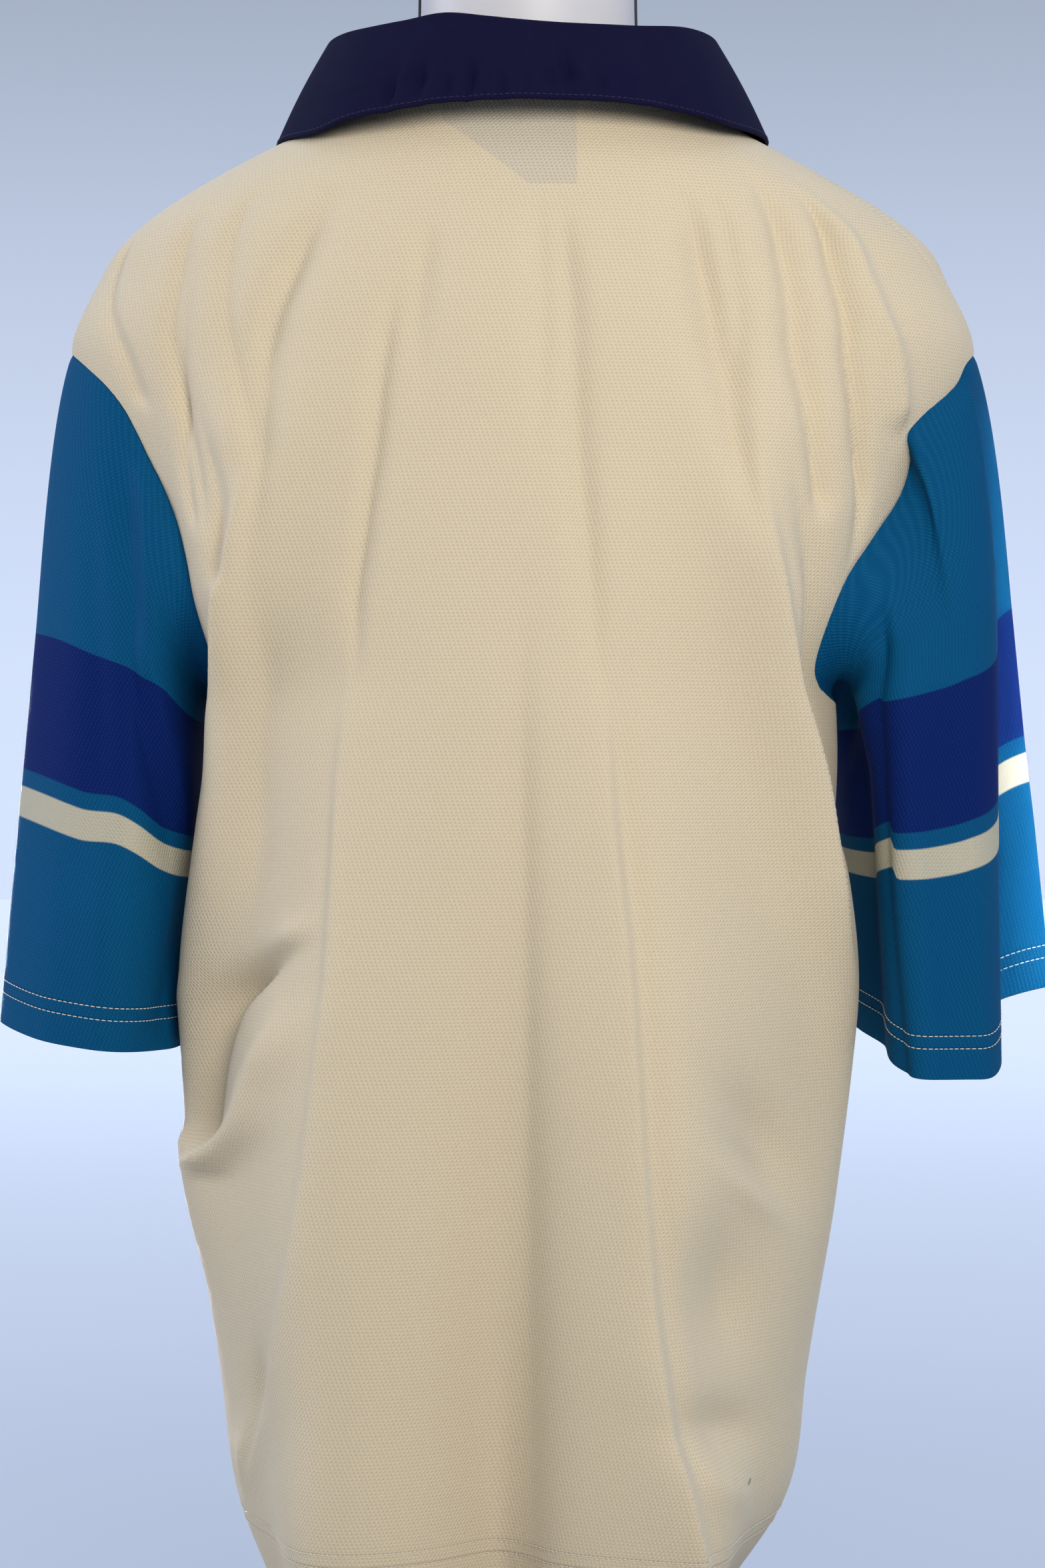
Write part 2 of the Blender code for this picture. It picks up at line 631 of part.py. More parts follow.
def make_stand(material):
    """The pole below the form and the round plate that everything stands on."""
    pole_top = FORM_SECTIONS[0][0] - GAP
    pole_bottom = BASE_THICKNESS + GAP
    pole = [(0.0, pole_top), (POLE_RADIUS, pole_top), (POLE_RADIUS, pole_bottom), (0.0, pole_bottom)]
    make_turned("stand_pole", pole, material)
    base = [
        (0.0, BASE_THICKNESS),
        (BASE_RADIUS - BASE_BEVEL, BASE_THICKNESS),
        (BASE_RADIUS, BASE_THICKNESS - BASE_BEVEL),
        (BASE_RADIUS, 0.0),
        (0.0, 0.0),
    ]
    make_turned("stand_base", base, material)


def main():
    cream = make_material("cream_mesh", (0.72, 0.64, 0.47), 0.75)
    teal = make_material("teal_mesh", (0.01, 0.16, 0.27), 0.65)
    navy = make_material("navy_cloth", (0.012, 0.012, 0.045), 0.6)
    label = make_material("label_cloth", (0.30, 0.33, 0.38), 0.7)
    white = make_material("form_shell", (0.80, 0.79, 0.82), 0.45)
    black = make_material("trim_cord", (0.01, 0.01, 0.012), 0.5)
    steel = make_material("steel", (0.55, 0.55, 0.57), 0.35, 1.0)
    make_panel("back", cream)
    make_panel("front", cream)
    make_sleeve("left", teal)
    make_sleeve("right", teal)
    make_collar(navy)
    make_label(label)
    make_form(white)
    make_cap(white)
    make_trim("left", black)
    make_trim("right", black)
    make_stand(steel)


for old in list(bpy.data.objects):
    bpy.data.objects.remove(old, do_unlink=True)
collection = bpy.data.collections.new("football_shirt")
bpy.context.scene.collection.children.link(collection)
main()
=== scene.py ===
"""A football shirt on a limbless dress form, seen from behind: its looks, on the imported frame.

The shirt is the CAD model's own loft, cut finer and thinner, with its smaller creases added.
Each cloth mesh carries a UV map named "cloth": the place of each point on the flat cloth, in
metres, so that the knit, the bands and the hems lie on it as they would on the real one.
"""
import math

import bmesh
import bpy
import numpy as np
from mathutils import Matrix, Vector


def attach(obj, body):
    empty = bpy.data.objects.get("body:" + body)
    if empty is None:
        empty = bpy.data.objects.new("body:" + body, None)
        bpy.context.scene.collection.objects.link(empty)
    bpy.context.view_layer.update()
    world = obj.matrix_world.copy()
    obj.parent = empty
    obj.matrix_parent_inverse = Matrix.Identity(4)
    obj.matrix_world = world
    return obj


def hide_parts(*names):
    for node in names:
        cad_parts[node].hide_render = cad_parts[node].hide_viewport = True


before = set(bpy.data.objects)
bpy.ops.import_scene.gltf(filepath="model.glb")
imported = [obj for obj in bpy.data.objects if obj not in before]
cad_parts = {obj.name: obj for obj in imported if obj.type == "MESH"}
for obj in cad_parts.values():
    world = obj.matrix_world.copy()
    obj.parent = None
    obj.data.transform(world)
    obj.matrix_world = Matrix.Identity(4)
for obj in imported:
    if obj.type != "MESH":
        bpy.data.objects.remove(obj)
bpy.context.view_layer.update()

# ---------------------------------------------------------------- sizes

# Single sizes are in metres. The lengths in the shirt's and the form's tables are in millimetres.
MM = 1000.0


def thousandths(*rows):
    """A table that is written in millimetres, with its shares in thousandths."""
    return [[value / MM for value in row] for row in rows]


HEM_FOLD = 0.0009  # how far inside the cloth its turned-under hem lies
HEM_DEPTH = 0.042  # how deep the body's hem is
CUFF_SHARE = 0.14  # how much of a sleeve's hanging part is turned under
COLLAR_CLOTH = 0.0022  # two layers of woven cloth and what stiffens them
GAP = 0.0001  # between two pieces at a seam
FORM_GAP = 0.0005  # the cloth's least distance from the form
SEAM_DIP = 0.0008  # how far a seam pulls the cloth in, and how far off this reaches
SEAM_REACH = 0.0025
SEAM_TURN = 0.004  # a sleeve's normals turn from the body's to its own over this far
SAME_POINT = 1e-6  # points this close are one

HEM_HEIGHT = 0.083
ARMPIT_HEIGHT = 0.575
SHOULDER_POINT_HEIGHT = 0.775
NECK_POINT_HEIGHT = 0.918
BACK_NECK_HEIGHT = 0.913
FRONT_NECK_HEIGHT = 0.800
NECK_HALF_WIDTH = 0.094

BODY_ROWS = 116  # rows of cells below the armpits
ARM_ROWS = 60  # beside each armhole
SHOULDER_ROWS = 46  # from the shoulder points to the neck
BACK_COLUMNS = 330
FRONT_COLUMNS = 190
SLEEVE_STEPS = 280
CAP_ROWS = 46
CUFF_ROWS = 70
COLUMN_SQUEEZE = 2.4  # how much more the armholes push aside the columns near them
ROW_BEND = 6.0  # and how near an armhole its rows follow it, not the middle's
# Extra columns and rows that keep the edges crisp.
SIDE_SHARES = (0.002, 0.0045, 0.008)  # of a panel's half width
HEM_DISTANCES = (0.0006, 0.0014)
CAP_SHARES = (0.0, 0.004, 0.012)  # of the way from the armhole to where a sleeve hangs
CUFF_SHARES = (0.994, 0.9975, 1.0)  # of the way on to its cuff
FALL_SHARES = (0.012, 0.03)  # of the collar's fall
FLAT_REACH = 112.0  # degrees each way of the grid that a panel is laid flat by
FLAT_COLUMNS = 449
FLAT_ROWS = 241
NORMAL_TURN = 0.2  # degrees and metres, the small steps that normals are found by
NORMAL_RISE = 0.0006
STEEPEST = 3.0  # a spline's slope at a row, at most, as a multiple of the flatter one beside it

# Level loops of the body: its width on each side, and its depth behind and in front of the
# side line, which lies at side_y.
BODY_NAMES = ("height", "left", "right", "back", "front", "side_y")
BODY_SECTIONS = thousandths(
    (83, 146, 122, 138, 126, 14),
    (120, 160, 147, 140, 130, 10),
    (200, 172, 162, 136, 128, 4),
    (300, 183, 174, 132, 124, -2),
    (400, 180, 175, 129, 120, -4),
    (500, 172, 168, 128, 118, -2),
    (575, 172, 169, 128, 116, 0),
    (640, 203, 203, 127, 113, 3),
    (700, 229, 229, 125, 108, 5),
    (775, 256.5, 257, 119, 100, 7),
    (812, 242.5, 243, 113, 94, 7),
    (836, 227.5, 229, 107, 90, 6),
    (850, 212, 212, 103, 87, 6),
    (876, 170, 168, 96, 82, 5),
    (900, 124, 124, 85, 76, 5),
    (918, 94, 94, 74, 70, 5),
)

# The armhole's edge on the body: the angle round the body, from the centre of each panel,
# against the climb from the armpit (0) to the shoulder point (1).
ARMHOLE_NAMES = ("climb", "back_left", "back_right", "front")
ARMHOLE = (
    (0, 90, 90, 90),
    (0.125, 76, 72, 76),
    (0.25, 66, 64, 67),
    (0.375, 60.5, 60, 63),
    (0.48, 59.5, 65.5, 62),
    (0.56, 61, 70, 62.5),
    (0.61, 62.5, 68.5, 63),
    (0.665, 63, 63, 64),
    (0.725, 64, 66.5, 66),
    (0.8, 68, 74.5, 69.5),
    (0.875, 75, 77.5, 76),
    (1, 90, 90, 90),
)

# The shoulder seams: the angle round the body, from the centre back, at each height. The
# right one is pulled round to the back.
SHOULDER_NAMES = ("height", "left", "right")
SHOULDER_SEAMS = (
    (775, 90, 90),
    (800, 88, 81),
    (820, 87, 73),
    (845, 86, 69.5),
    (870, 86, 71),
    (890, 87, 78),
    (918, 90, 90),
)

# Main folds of the body. Each runs down from top to bottom height along a path, given as
# angles round the body at even steps down (0 the centre of the back, 90 the wearer's right,
# 180 the centre of the front). A ridge has a positive depth and a valley a negative one.
# Depth grows as a power of the way down, and dies out again over the tail, a share of the
# length. The spread is a fold's half width in degrees.
FOLDS = {
    # top, bottom, path, spread, depth, growth, tail
    "hem_lobe_left": (620, 60, (-30, -36), 15, 42, 1.2, 0),
    "hem_lobe_right": (620, 60, (16, 31), 17, 46, 1.2, 0),
    "centre_valley": (600, 60, (-1, -6.5), 10, -36, 1.3, 0),
    "side_ridge_left": (780, 220, (-32, -58, -77, -78), 11, 28, 0.4, 0.5),
    "side_ridge_right": (780, 220, (27, 52, 76, 78), 11, 28, 0.4, 0.5),
    "pouch_left": (430, 240, (-80, -84), 12, 8, 0.5, 0.5),
    "front_lobe_left": (660, 60, (215, 214), 16, 34, 1.3, 0),
    "front_lobe_right": (660, 60, (147, 144), 16, 36, 1.3, 0),
    "front_valley": (620, 60, (181, 183), 13, -26, 1.3, 0),
}

FOLD_START = 0.12  # over this share of its way down, a fold's top fades in
CREST_POWER = 1.7  # a crease falls off from its crest as this power; a fold's is 2

# Creases laid on them: as above, but with a half width on each side, and with a head and a
# tail, the shares of the length over which each comes up and dies out. With no tail it runs
# out over the hem.
CREASES = (
    # top, bottom, path, left, right, depth, head, tail
    # slack over the shoulder blades, in which the smaller creases lie
    (912, 690, (0, 0), 62, 62, 3, 0.25, 0.5),
    # from the left shoulder down to the armhole, outermost first
    (845, 735, (-76, -70, -60, -57.5), 2.1, 2.1, -3.8, 0.2, 0.1),
    (850, 655, (-55.5, -50, -48.6, -49, -50.5), 1.9, 1.9, -4.9, 0.12, 0.2),
    (820, 665, (-47.5, -46.5, -48, -52, -53), 1.5, 1.5, -3.4, 0.3, 0.1),
    (770, 632, (-44.5, -45.5, -45.5, -47, -51), 2, 2.2, -6, 0.7, 0.1),
    (862, 690, (-46, -42, -38.5, -37.5, -38.5), 1.8, 1.8, -3.8, 0.15, 0.3),
    # beside the left shoulder blade, and on down the side
    (868, 590, (-27.5, -30.4, -33.3, -37.3, -44, -51), 2.9, 2.9, -9, 0.24, 0.5),
    (650, 440, (-43, -52, -56, -58.5), 5, 5, -6, 0.3, 0.4),
    (745, 520, (-32.5, -38.5, -46, -55, -65, -68), 2.2, 6, 10, 0.4, 0.4),
    # the long crease down the left of the back
    (825, 560, (-15.2, -16.6, -19.4, -23.5, -28.8, -34), 2, 1.8, -5.4, 0.25, 0.3),
    (660, 130, (-22, -31, -33.5, -34, -33.5, -34.5, -36.5, -41, -51, -70), 1.6, 7, 4.4, 0.3, 0.1),
    # the cloth that droops over itself at the left side, and the lip that it hangs from
    (450, 328, (-38, -51, -63.5, -68, -70, -71, -71.5), 9.5, 5, -18, 0.3, 0.12),
    (425, 312, (-43, -47, -52, -58, -76), 5, 8, 12, 0.4, 0.1),
    (855, 725, (-12.4, -12.6, -13.2), 2.2, 2.2, -4.6, 0.45, 0.5),
    # the middle of the back
    (865, 690, (1.8, 2.4, 2.3), 2, 2, -5, 0.35, 0.5),
    (862, 550, (5.2, 5.8, 6.6, 8.8, 12, 17), 2, 2, -5.6, 0.2, 0.4),
    (700, 70, (0, 0, 0, 0.5, 0.7, 1, 1.5, 2, 2.6), 5.4, 2.8, -4.2, 0.3, 0),
    # the long crease down the right of the back
    (600, 70, (14.6, 15.4, 17.4, 18.4, 19.6, 22.3, 27.4, 35.5), 5, 1.6, 5, 0.2, 0),
    (610, 90, (16.6, 17.2, 19.2, 20.2, 21.4, 24.2, 29.4, 37.5), 1.6, 3.4, -3.2, 0.2, 0.1),
    (290, 70, (19.4, 22, 27, 35.5), 6, 1.9, 7, 0.6, 0),
    (320, 110, (28, 31, 35, 42), 6, 9, -6.4, 0.4, 0.3),
    # beside the right shoulder blade, and on down the side
    (868, 645, (24.2, 23.6, 23.8, 27.3, 31.7, 37), 3, 2.2, -10.5, 0.28, 0.35),
    (875, 720, (30, 28.3, 27.5, 27.2, 31), 1.5, 1.5, -3.4, 0.35, 0.3),
    (765, 410, (26.5, 30, 34.5, 41, 50, 57, 62, 67.5, 75), 8, 2, 12, 0.35, 0.2),
    (755, 480, (33, 38, 44.5, 53, 62, 68, 72), 3, 6, -14, 0.5, 0.3),
    # from the right shoulder down to the armhole
    (875, 670, (42.5, 37.5, 36, 35, 38.2, 43, 48), 1.9, 2.6, -8.8, 0.25, 0.1),
    (862, 640, (47.8, 44.8, 44, 49, 57, 60), 1.8, 1.8, -8, 0.15, 0.3),
    (870, 722, (50, 50, 50, 54, 60.5), 3.6, 1.9, 6, 0.3, 0.1),
    # the front, which hangs as the back does
    (700, 70, (205, 213, 210, 207), 2.5, 6, 5, 0.3, 0),
    (690, 70, (158, 151, 149, 152), 6, 2.5, 5.5, 0.3, 0),
    (640, 70, (178, 180, 182), 3, 1.6, -3.4, 0.3, 0),
    (800, 600, (215, 218, 232), 2.5, 2, -4, 0.4, 0.3),
    (810, 610, (143, 139, 126), 2, 2.5, -4.5, 0.4, 0.3),
    (760, 560, (226, 234, 247), 7, 2.5, 8, 0.4, 0.4),
    (770, 570, (135, 126, 112), 2.5, 7, 7.5, 0.4, 0.4),
)

# Dents and swells: the place, half the length and half the width, the way that the length
# points (0 straight down, 90 to the right as seen from outside), and the depth.
DENTS = (
    # angle, height, length, width, slant, depth
    # round the lip at the left side
    (-45, 448, 16, 7, -65, 4.5),
    (-54, 204, 20, 11, -25, -4.5),
    (-67, 158, 22, 10, -35, 4),
    # hollows above the hem at the right side
    (38, 254, 44, 30, 12, -16),
    (38, 184, 34, 16, 78, -11.5),
    (49, 338, 42, 18, 50, -10),
    (47, 322, 34, 5.5, 57, -4),
    (44.5, 307, 28, 7, 57, 4),
    (38, 155, 28, 13, 60, 6),
    # slack under the right sleeve, which fills the way between the two
    (86, 545, 75, 40, 0, 10.5),
    # the front
    (130, 400, 40, 9, 55, -7),
    (130, 370, 45, 10, 50, 7),
    (232, 250, 30, 12, -40, -5),
    (152, 200, 30, 12, 40, -4),
)
DEGREE = 0.0027  # metres round the body to a degree, about half way to its side

# Lines that run down a sleeve, in order round it from the underarm: the share of the way
# round, then the line's place where the sleeve starts to hang free and at the cuff.
SLEEVE_NAMES = ("around", "top_x", "top_y", "top_z", "cuff_x", "cuff_y", "cuff_z")
SLEEVE_LINES = {
    "left": thousandths(
        (0, -179, 30, 566, -189, 30, 386),
        (125, -188, -24, 571, -199, -26, 381),
        (250, -214, -60, 590, -229, -60, 382.5),
        (375, -252, -44, 608, -268, -50, 388),
        (500, -277, 0, 615, -296.5, -4, 396),
        (625, -264, 46, 610, -283, 50, 394),
        (750, -232, 66, 600, -248, 76, 391),
        (875, -196, 52, 582, -210, 58, 389),
    ),
    "right": thousandths(
        (0, 178, 30, 561, 189, 30, 394.5),
        (125, 187, -24, 565, 199, -26, 381.5),
        (250, 210, -58, 578, 229, -60, 367.5),
        (330, 242, -55, 588, 252, -60, 367),
        (390, 260, -36, 597, 263, -40, 373),
        (440, 266, -6, 616, 266, 0, 402),
        (500, 281, 16, 629, 302, 16, 414),
        (625, 270, 50, 618, 290, 58, 410),
        (750, 236, 66, 600, 252, 76, 404),
        (875, 198, 52, 580, 212, 58, 400),
    ),
}
SEAM_LEAVE = (1.3, 1.3, 0.7)  # slope at the armhole, as a multiple of the way to the line
SEAM_PUFF = 0.012  # metres more, straight off the body's surface
SLEEVE_HANG = 0.5  # slope at the line, as a share of the way from it to the cuff

# Creases of a sleeve. Each runs from its start to its end, which are ways down the sleeve
# (-1 the armhole, 0 the line where it starts to hang free, 1 the cuff), along shares of the
# way round at even steps. Its half widths on the underarm's side and away from it are shares.
SLEEVE_CREASES = {
    # start, end, path, under, out, depth, head, tail
    "left": (
        (-1, 0.6, (0.31, 0.27, 0.235, 0.218, 0.135, 0.07), 0.07, 0.02, 5.5, 0.1, 0.3),
        (-0.95, 0.6, (0.345, 0.305, 0.272, 0.255, 0.18, 0.12), 0.022, 0.035, -3.5, 0.2, 0.3),
        (-0.8, 0.6, (0.385, 0.345, 0.31, 0.295), 0.024, 0.024, -2.2, 0.4, 0.4),
        (0.3, 1.05, (0.28, 0.27), 0.035, 0.035, 3.5, 0.5, 0),
        (0.45, 1.05, (0.09, 0.15), 0.04, 0.04, -4.5, 0.5, 0.3),
        (-0.8, 1.05, (0.7, 0.69, 0.66), 0.035, 0.025, -4.5, 0.3, 0),
        (-0.6, 1.05, (0.81, 0.8, 0.84), 0.025, 0.045, 5, 0.3, 0),
    ),
    "right": (
        (-1, 1.05, (0.405, 0.41, 0.418, 0.412, 0.405), 0.05, 0.012, 4.5, 0.05, 0),
        (-0.4, 1.05, (0.262, 0.25, 0.232, 0.222), 0.11, 0.05, 14, 0.3, 0),
        (-0.8, 1.05, (0.225, 0.225, 0.218, 0.206, 0.206), 0.03, 0.012, -5, 0.3, 0),
        (-0.3, 1.05, (0.12, 0.12, 0.12), 0.06, 0.06, -12, 0.3, 0),
        (-0.95, 0.4, (0.312, 0.312, 0.312), 0.03, 0.03, -1.8, 0.2, 0.4),
        (-0.6, 0.2, (0.085, 0.075, 0.05), 0.035, 0.035, -9, 0.4, 0.4),
        (-0.3, 0.2, (0.16, 0.165), 0.035, 0.035, 4, 0.4, 0.4),
        (0.3, 1.05, (0.455, 0.468), 0.014, 0.03, 4.5, 0.4, 0),
        (-0.8, 1.05, (0.69, 0.68, 0.65), 0.025, 0.035, -4.5, 0.3, 0),
        (-0.6, 1.05, (0.8, 0.81, 0.85), 0.045, 0.025, 5, 0.3, 0),
    ),
}

# How far the bands wander down a sleeve, as ways, by the share of the way round it.
BAND_SHIFTS = {
    "left": ((0, 0), (0.1, 0.015), (0.17, 0.01), (0.22, -0.01), (0.26, -0.018),
             (0.33, 0.002), (0.46, -0.004), (1, 0)),
    "right": ((0, 0), (0.11, 0.01), (0.19, -0.028), (0.218, -0.036), (0.227, -0.002),
              (0.3, 0.008), (0.38, 0), (0.42, -0.004), (0.45, -0.02), (0.56, -0.015), (1, 0)),
}

# The bands knitted into a sleeve, as ways down it, and the stitches' distances from its cuff.
BLUE_BAND = (0.0, 0.350)
CREAM_BAND = (0.394, 0.472)
CUFF_LINES = (0.024, 0.017)
CUFF_STEP = 0.01  # ways between the rows that give a cuff line's normals
HEM_LINES = (0.122, 0.115)  # heights of the stitches round the body
HEM_TURN = 0.25  # degrees between the points of their lines

# The collar's fold and outer edge, from the centre back (0) to its front end (1), for the
# wearer's right. The left is its mirror. Its seam follows the panels' neck edges.
COLLAR_NAMES = ("way", "fold_x", "fold_y", "fold_z", "edge_x", "edge_y", "edge_z")
COLLAR_GUIDES = thousandths(
    (0, 0, -82, 946.5, 0, -108, 900),
    (150, 52, -73, 948, 67, -96, 899.5),
    (280, 91, -46, 951, 115, -64, 897.5),
    (400, 107.5, 2, 953, 140, -2, 896),
    (550, 96, 48, 943, 136, 64, 883),
    (720, 64, 85, 908, 112, 98, 848),
    (880, 28, 107, 853, 78, 112, 800),
    (1000, 4, 112, 812, 50, 117, 764),
)
COLLAR_SHOULDER = 0.40  # the way round at which the collar crosses the shoulder seam
COLLAR_END = 0.03  # its ends stop this share of the neck's half width off the centre
FOLD_RADIUS = 0.004
# How far the fold and the edge rise or drop from those, by how far right they are.
CREST_RISES = thousandths((-140, 0), (-91, -1.8), (-67, 0.5), (-41, 4.3), (-20, 2.4), (0, 0.4),
                          (23, -1.3), (61, -2.2), (91, -0.8), (140, 0))
EDGE_RISES = thousandths((-150, -3), (-140, -4.3), (-115, -8.5), (-98, -5.5), (-69, -3.3),
                         (-41, -1), (0, 0), (67, -1), (100, -3.5), (115, -4.5), (140, -2))
# Puckers of the fall: how far right, the share of the way down it, half the width, half the
# height as a share, and the depth.
PUCKERS = thousandths(
    (-74.5, 800, 3, 160, -3.4),
    (-69, 720, 3, 200, 1.9),
    (-59, 720, 3.6, 180, -4),
    (-50, 800, 3, 140, 1.6),
    (-43, 820, 2.8, 120, -2.3),
    (-30, 780, 3.2, 200, -3.7),
    (-21.5, 800, 3, 140, 1.6),
    (-12, 840, 2.6, 120, -2.3),
    (1, 800, 3, 140, -1.9),
    (16, 720, 3.4, 160, -2.9),
    (25.5, 620, 3.6, 200, -4.3),
    (35, 740, 3, 160, 2.3),
    (44, 780, 2.6, 120, -2.3),
    (60, 800, 3.4, 140, -1.9),
    (80, 600, 6, 300, -1.6),
)
COLLAR_STEPS = 360
STAND_ROWS = 8
FOLD_ROWS = 10
FALL_ROWS = 34
COLLAR_ROLL = 0.0012  # how far the fall is rounded outwards
COLLAR_LINE = 0.0018  # distance of its stitches from the edge

# The label sewn in behind the back panel. Its lower left corner is turned up.
LABEL_LEFT = -0.044
LABEL_RIGHT = 0.0295
LABEL_TOP = 0.908
LABEL_BOTTOM = 0.8545
LABEL_CORNER_X = 0.0035
LABEL_CORNER_HEIGHT = 0.893
LABEL_DEPTH = 0.0026  # from the panel's outer face to the label's
LABEL_COLUMNS = 40
LABEL_ROWS = 30

STITCH_LENGTH = 0.0026
STITCH_PITCH = 0.0034
STITCH_RADIUS = 0.00028
STITCH_WAYS = (0.0, 0.12, 0.5, 0.88, 1.0)  # places along a stitch
STITCH_WIDTHS = (0.25, 0.8, 1.0, 0.8, 0.25)  # and how thick it is there
STITCH_SIDES = 6
STITCH_ARCH = 1.1  # how far its ends dive under its middle, in radii

FORM_NAMES = ("height", "half_width", "back", "front", "centre_x", "centre_y")
FORM_SECTIONS = thousandths(
    (150, 118, 82, 86, 0, 0),
    (170, 123, 87, 90, 0, 0),
    (260, 126, 91, 92, 0, 0),
    (390, 112, 80, 86, 0, 0),
    (520, 130, 94, 98, 0, 0),
    (620, 145, 104, 101, 0, 0),
    (700, 168, 108, 97, 0, 3),
    (760, 200, 107, 90, 0, 5),
    (812, 223, 100, 76, 0, 4),
    (836, 218, 96, 70, 0, 2),
    (850, 205.5, 94, 67, 0, 2),
    (876, 163, 87, 62, 0, 1),
    (900, 116.5, 75, 56, 0, 1),
    (918, 85, 65, 54, 0.9, 1),
    (940, 66, 58, 56, 2.7, 0),
    (960, 61, 56, 54, 3, 0),
    (1000, 60.5, 56, 54, 3, 0),
)
FORM_ROWS = 160
FORM_COLUMNS = 144
CAP_HEIGHT = 0.012
CAP_LOOPS = 12
CAP_END = 0.97  # the share of its dome at which a flat end closes it
TRIM_SHARE = 0.25  # of the way round the form, to each side
TRIM_WIDTH = 0.0016
TRIM_BOTTOM = 0.945
TRIM_TOP = 0.998
TRIM_LOOPS = 40
TRIM_SIDES = 12
POLE_RADIUS = 0.0125
POLE_SIDES = 64
BASE_RADIUS = 0.150
BASE_THICKNESS = 0.012
BASE_BEVEL = 0.003
BASE_SIDES = 128
BEVEL_STEPS = 6

# The camera stands level, straight behind the shirt.
CAMERA_PLACE = (0.0, -1.95, 0.530)
CAMERA_LENS = 78.66
SENSOR = 36.0

# ---------------------------------------------------------------- surfaces


def spline(knots, values, at):
    """A smooth curve through a table's rows that never swings past them."""
    knots = np.asarray(knots, float)
    values = np.asarray(values, float)
    at = np.clip(at, knots[0], knots[-1])
    steps = np.diff(knots)
    slopes = np.diff(values) / steps
    tangents = np.empty_like(values)
    tangents[0] = slopes[0]
    tangents[-1] = slopes[-1]
    before = slopes[:-1]
    after = slopes[1:]
    mean = (before * steps[1:] + after * steps[:-1]) / (steps[1:] + steps[:-1])
    limit = STEEPEST * np.minimum(np.abs(before), np.abs(after))
    tangents[1:-1] = np.where(before * after > 0.0, np.clip(mean, -limit, limit), 0.0)
    row = np.clip(np.searchsorted(knots, at, side="right") - 1, 0, len(steps) - 1)
    start, end, leave, arrive = cubic_shares((at - knots[row]) / steps[row])
    rise = values[row] * start + values[row + 1] * end
    return rise + (tangents[row] * leave + tangents[row + 1] * arrive) * steps[row]


def cubic_shares(t):
    """A cubic curve's shares of its start, its end, and its slopes at the start and the end."""
    return 2 * t**3 - 3 * t**2 + 1, 3 * t**2 - 2 * t**3, t**3 - 2 * t**2 + t, t**3 - t**2


def along_path(path, way):
    """Places on a path that is given at even steps, at ways along it from 0 to 1."""
    return spline(np.linspace(0.0, 1.0, len(path)), path, way)


def column(names, rows, name):
    return [row[names.index(name)] for row in rows]


def look_up(names, rows, name, at):
    """A column of a table as a smooth curve against its first column."""
    return spline(column(names, rows, names[0]), column(names, rows, name), at)


def body_column(name, height):
    return look_up(BODY_NAMES, BODY_SECTIONS, name, height)


def form_column(name, height):
    return look_up(FORM_NAMES, FORM_SECTIONS, name, height)


def armhole_angle(name, climb):
    return look_up(ARMHOLE_NAMES, ARMHOLE, name, climb)


def shoulder_angle(side, height):
    heights = np.array(column(SHOULDER_NAMES, SHOULDER_SEAMS, "height")) / MM
    return spline(heights, column(SHOULDER_NAMES, SHOULDER_SEAMS, side), height)


def smooth_step(t):
    t = np.clip(t, 0.0, 1.0)
    return t * t * (3.0 - 2.0 * t)


def unit(vectors):
    return vectors / np.linalg.norm(vectors, axis=-1, keepdims=True)


def angle_from(middle, angle):
    return (angle - middle + 180.0) % 360.0 - 180.0


def way_down(height, top, bottom):
    """Ways down a fold from its top (0) to its bottom (1), which are in millimetres."""
    return np.clip((top / MM - height) / (top / MM - bottom / MM), 0.0, 1.0)


def fold_height(fold, angle, height):
    """How far one main fold lifts the cloth, at angles in degrees and heights in metres."""
    top, bottom, path, spread, depth, growth, tail = fold
    way = way_down(height, top, bottom)
    middle = along_path(path, way)
    growing = way**growth * smooth_step(way / FOLD_START)
    lift = depth / MM * growing * np.exp(-((angle_from(middle, angle) / spread) ** 2))
    if tail > 0.0:
        lift = lift * smooth_step((1.0 - way) / tail)
    return lift


def along_crease(way, head, tail):
    """1 along a crease, and less over its head and its tail."""
    height = smooth_step(way / head)
    return height * smooth_step((1.0 - way) / tail) if tail > 0.0 else height


def across_crease(distance, before, after):
    """1 on a crease's line, dying out over its half widths before and after the line."""
    return np.exp(-(np.abs(distance) / np.where(distance < 0.0, before, after)) ** CREST_POWER)


def crease_height(crease, angle, height):
    """How far one crease lifts the cloth. Its crest is sharper than a main fold's."""
    top, bottom, path, left, right, depth, head, tail = crease
    way = way_down(height, top, bottom)
    across = across_crease(angle_from(along_path(path, way), angle), left, right)
    return depth / MM * along_crease(way, head, tail) * across


def dent_height(dent, angle, height):
    """How far one dent or swell lifts the cloth."""
    middle, level, length, width, slant, depth = dent
    right = angle_from(middle, angle) * DEGREE
    down = level / MM - height
    turn = math.radians(slant)
    along = right * math.sin(turn) + down * math.cos(turn)
    across = right * math.cos(turn) - down * math.sin(turn)
    fall = (along / (length / MM)) ** 2 + np.abs(across / (width / MM)) ** CREST_POWER
    return depth / MM * np.exp(-fall)


def body_lift(angle, height):
    lift = sum(fold_height(fold, angle, height) for fold in FOLDS.values())
    lift = lift + sum(crease_height(crease, angle, height) for crease in CREASES)
    return lift + sum(dent_height(dent, angle, height) for dent in DENTS)


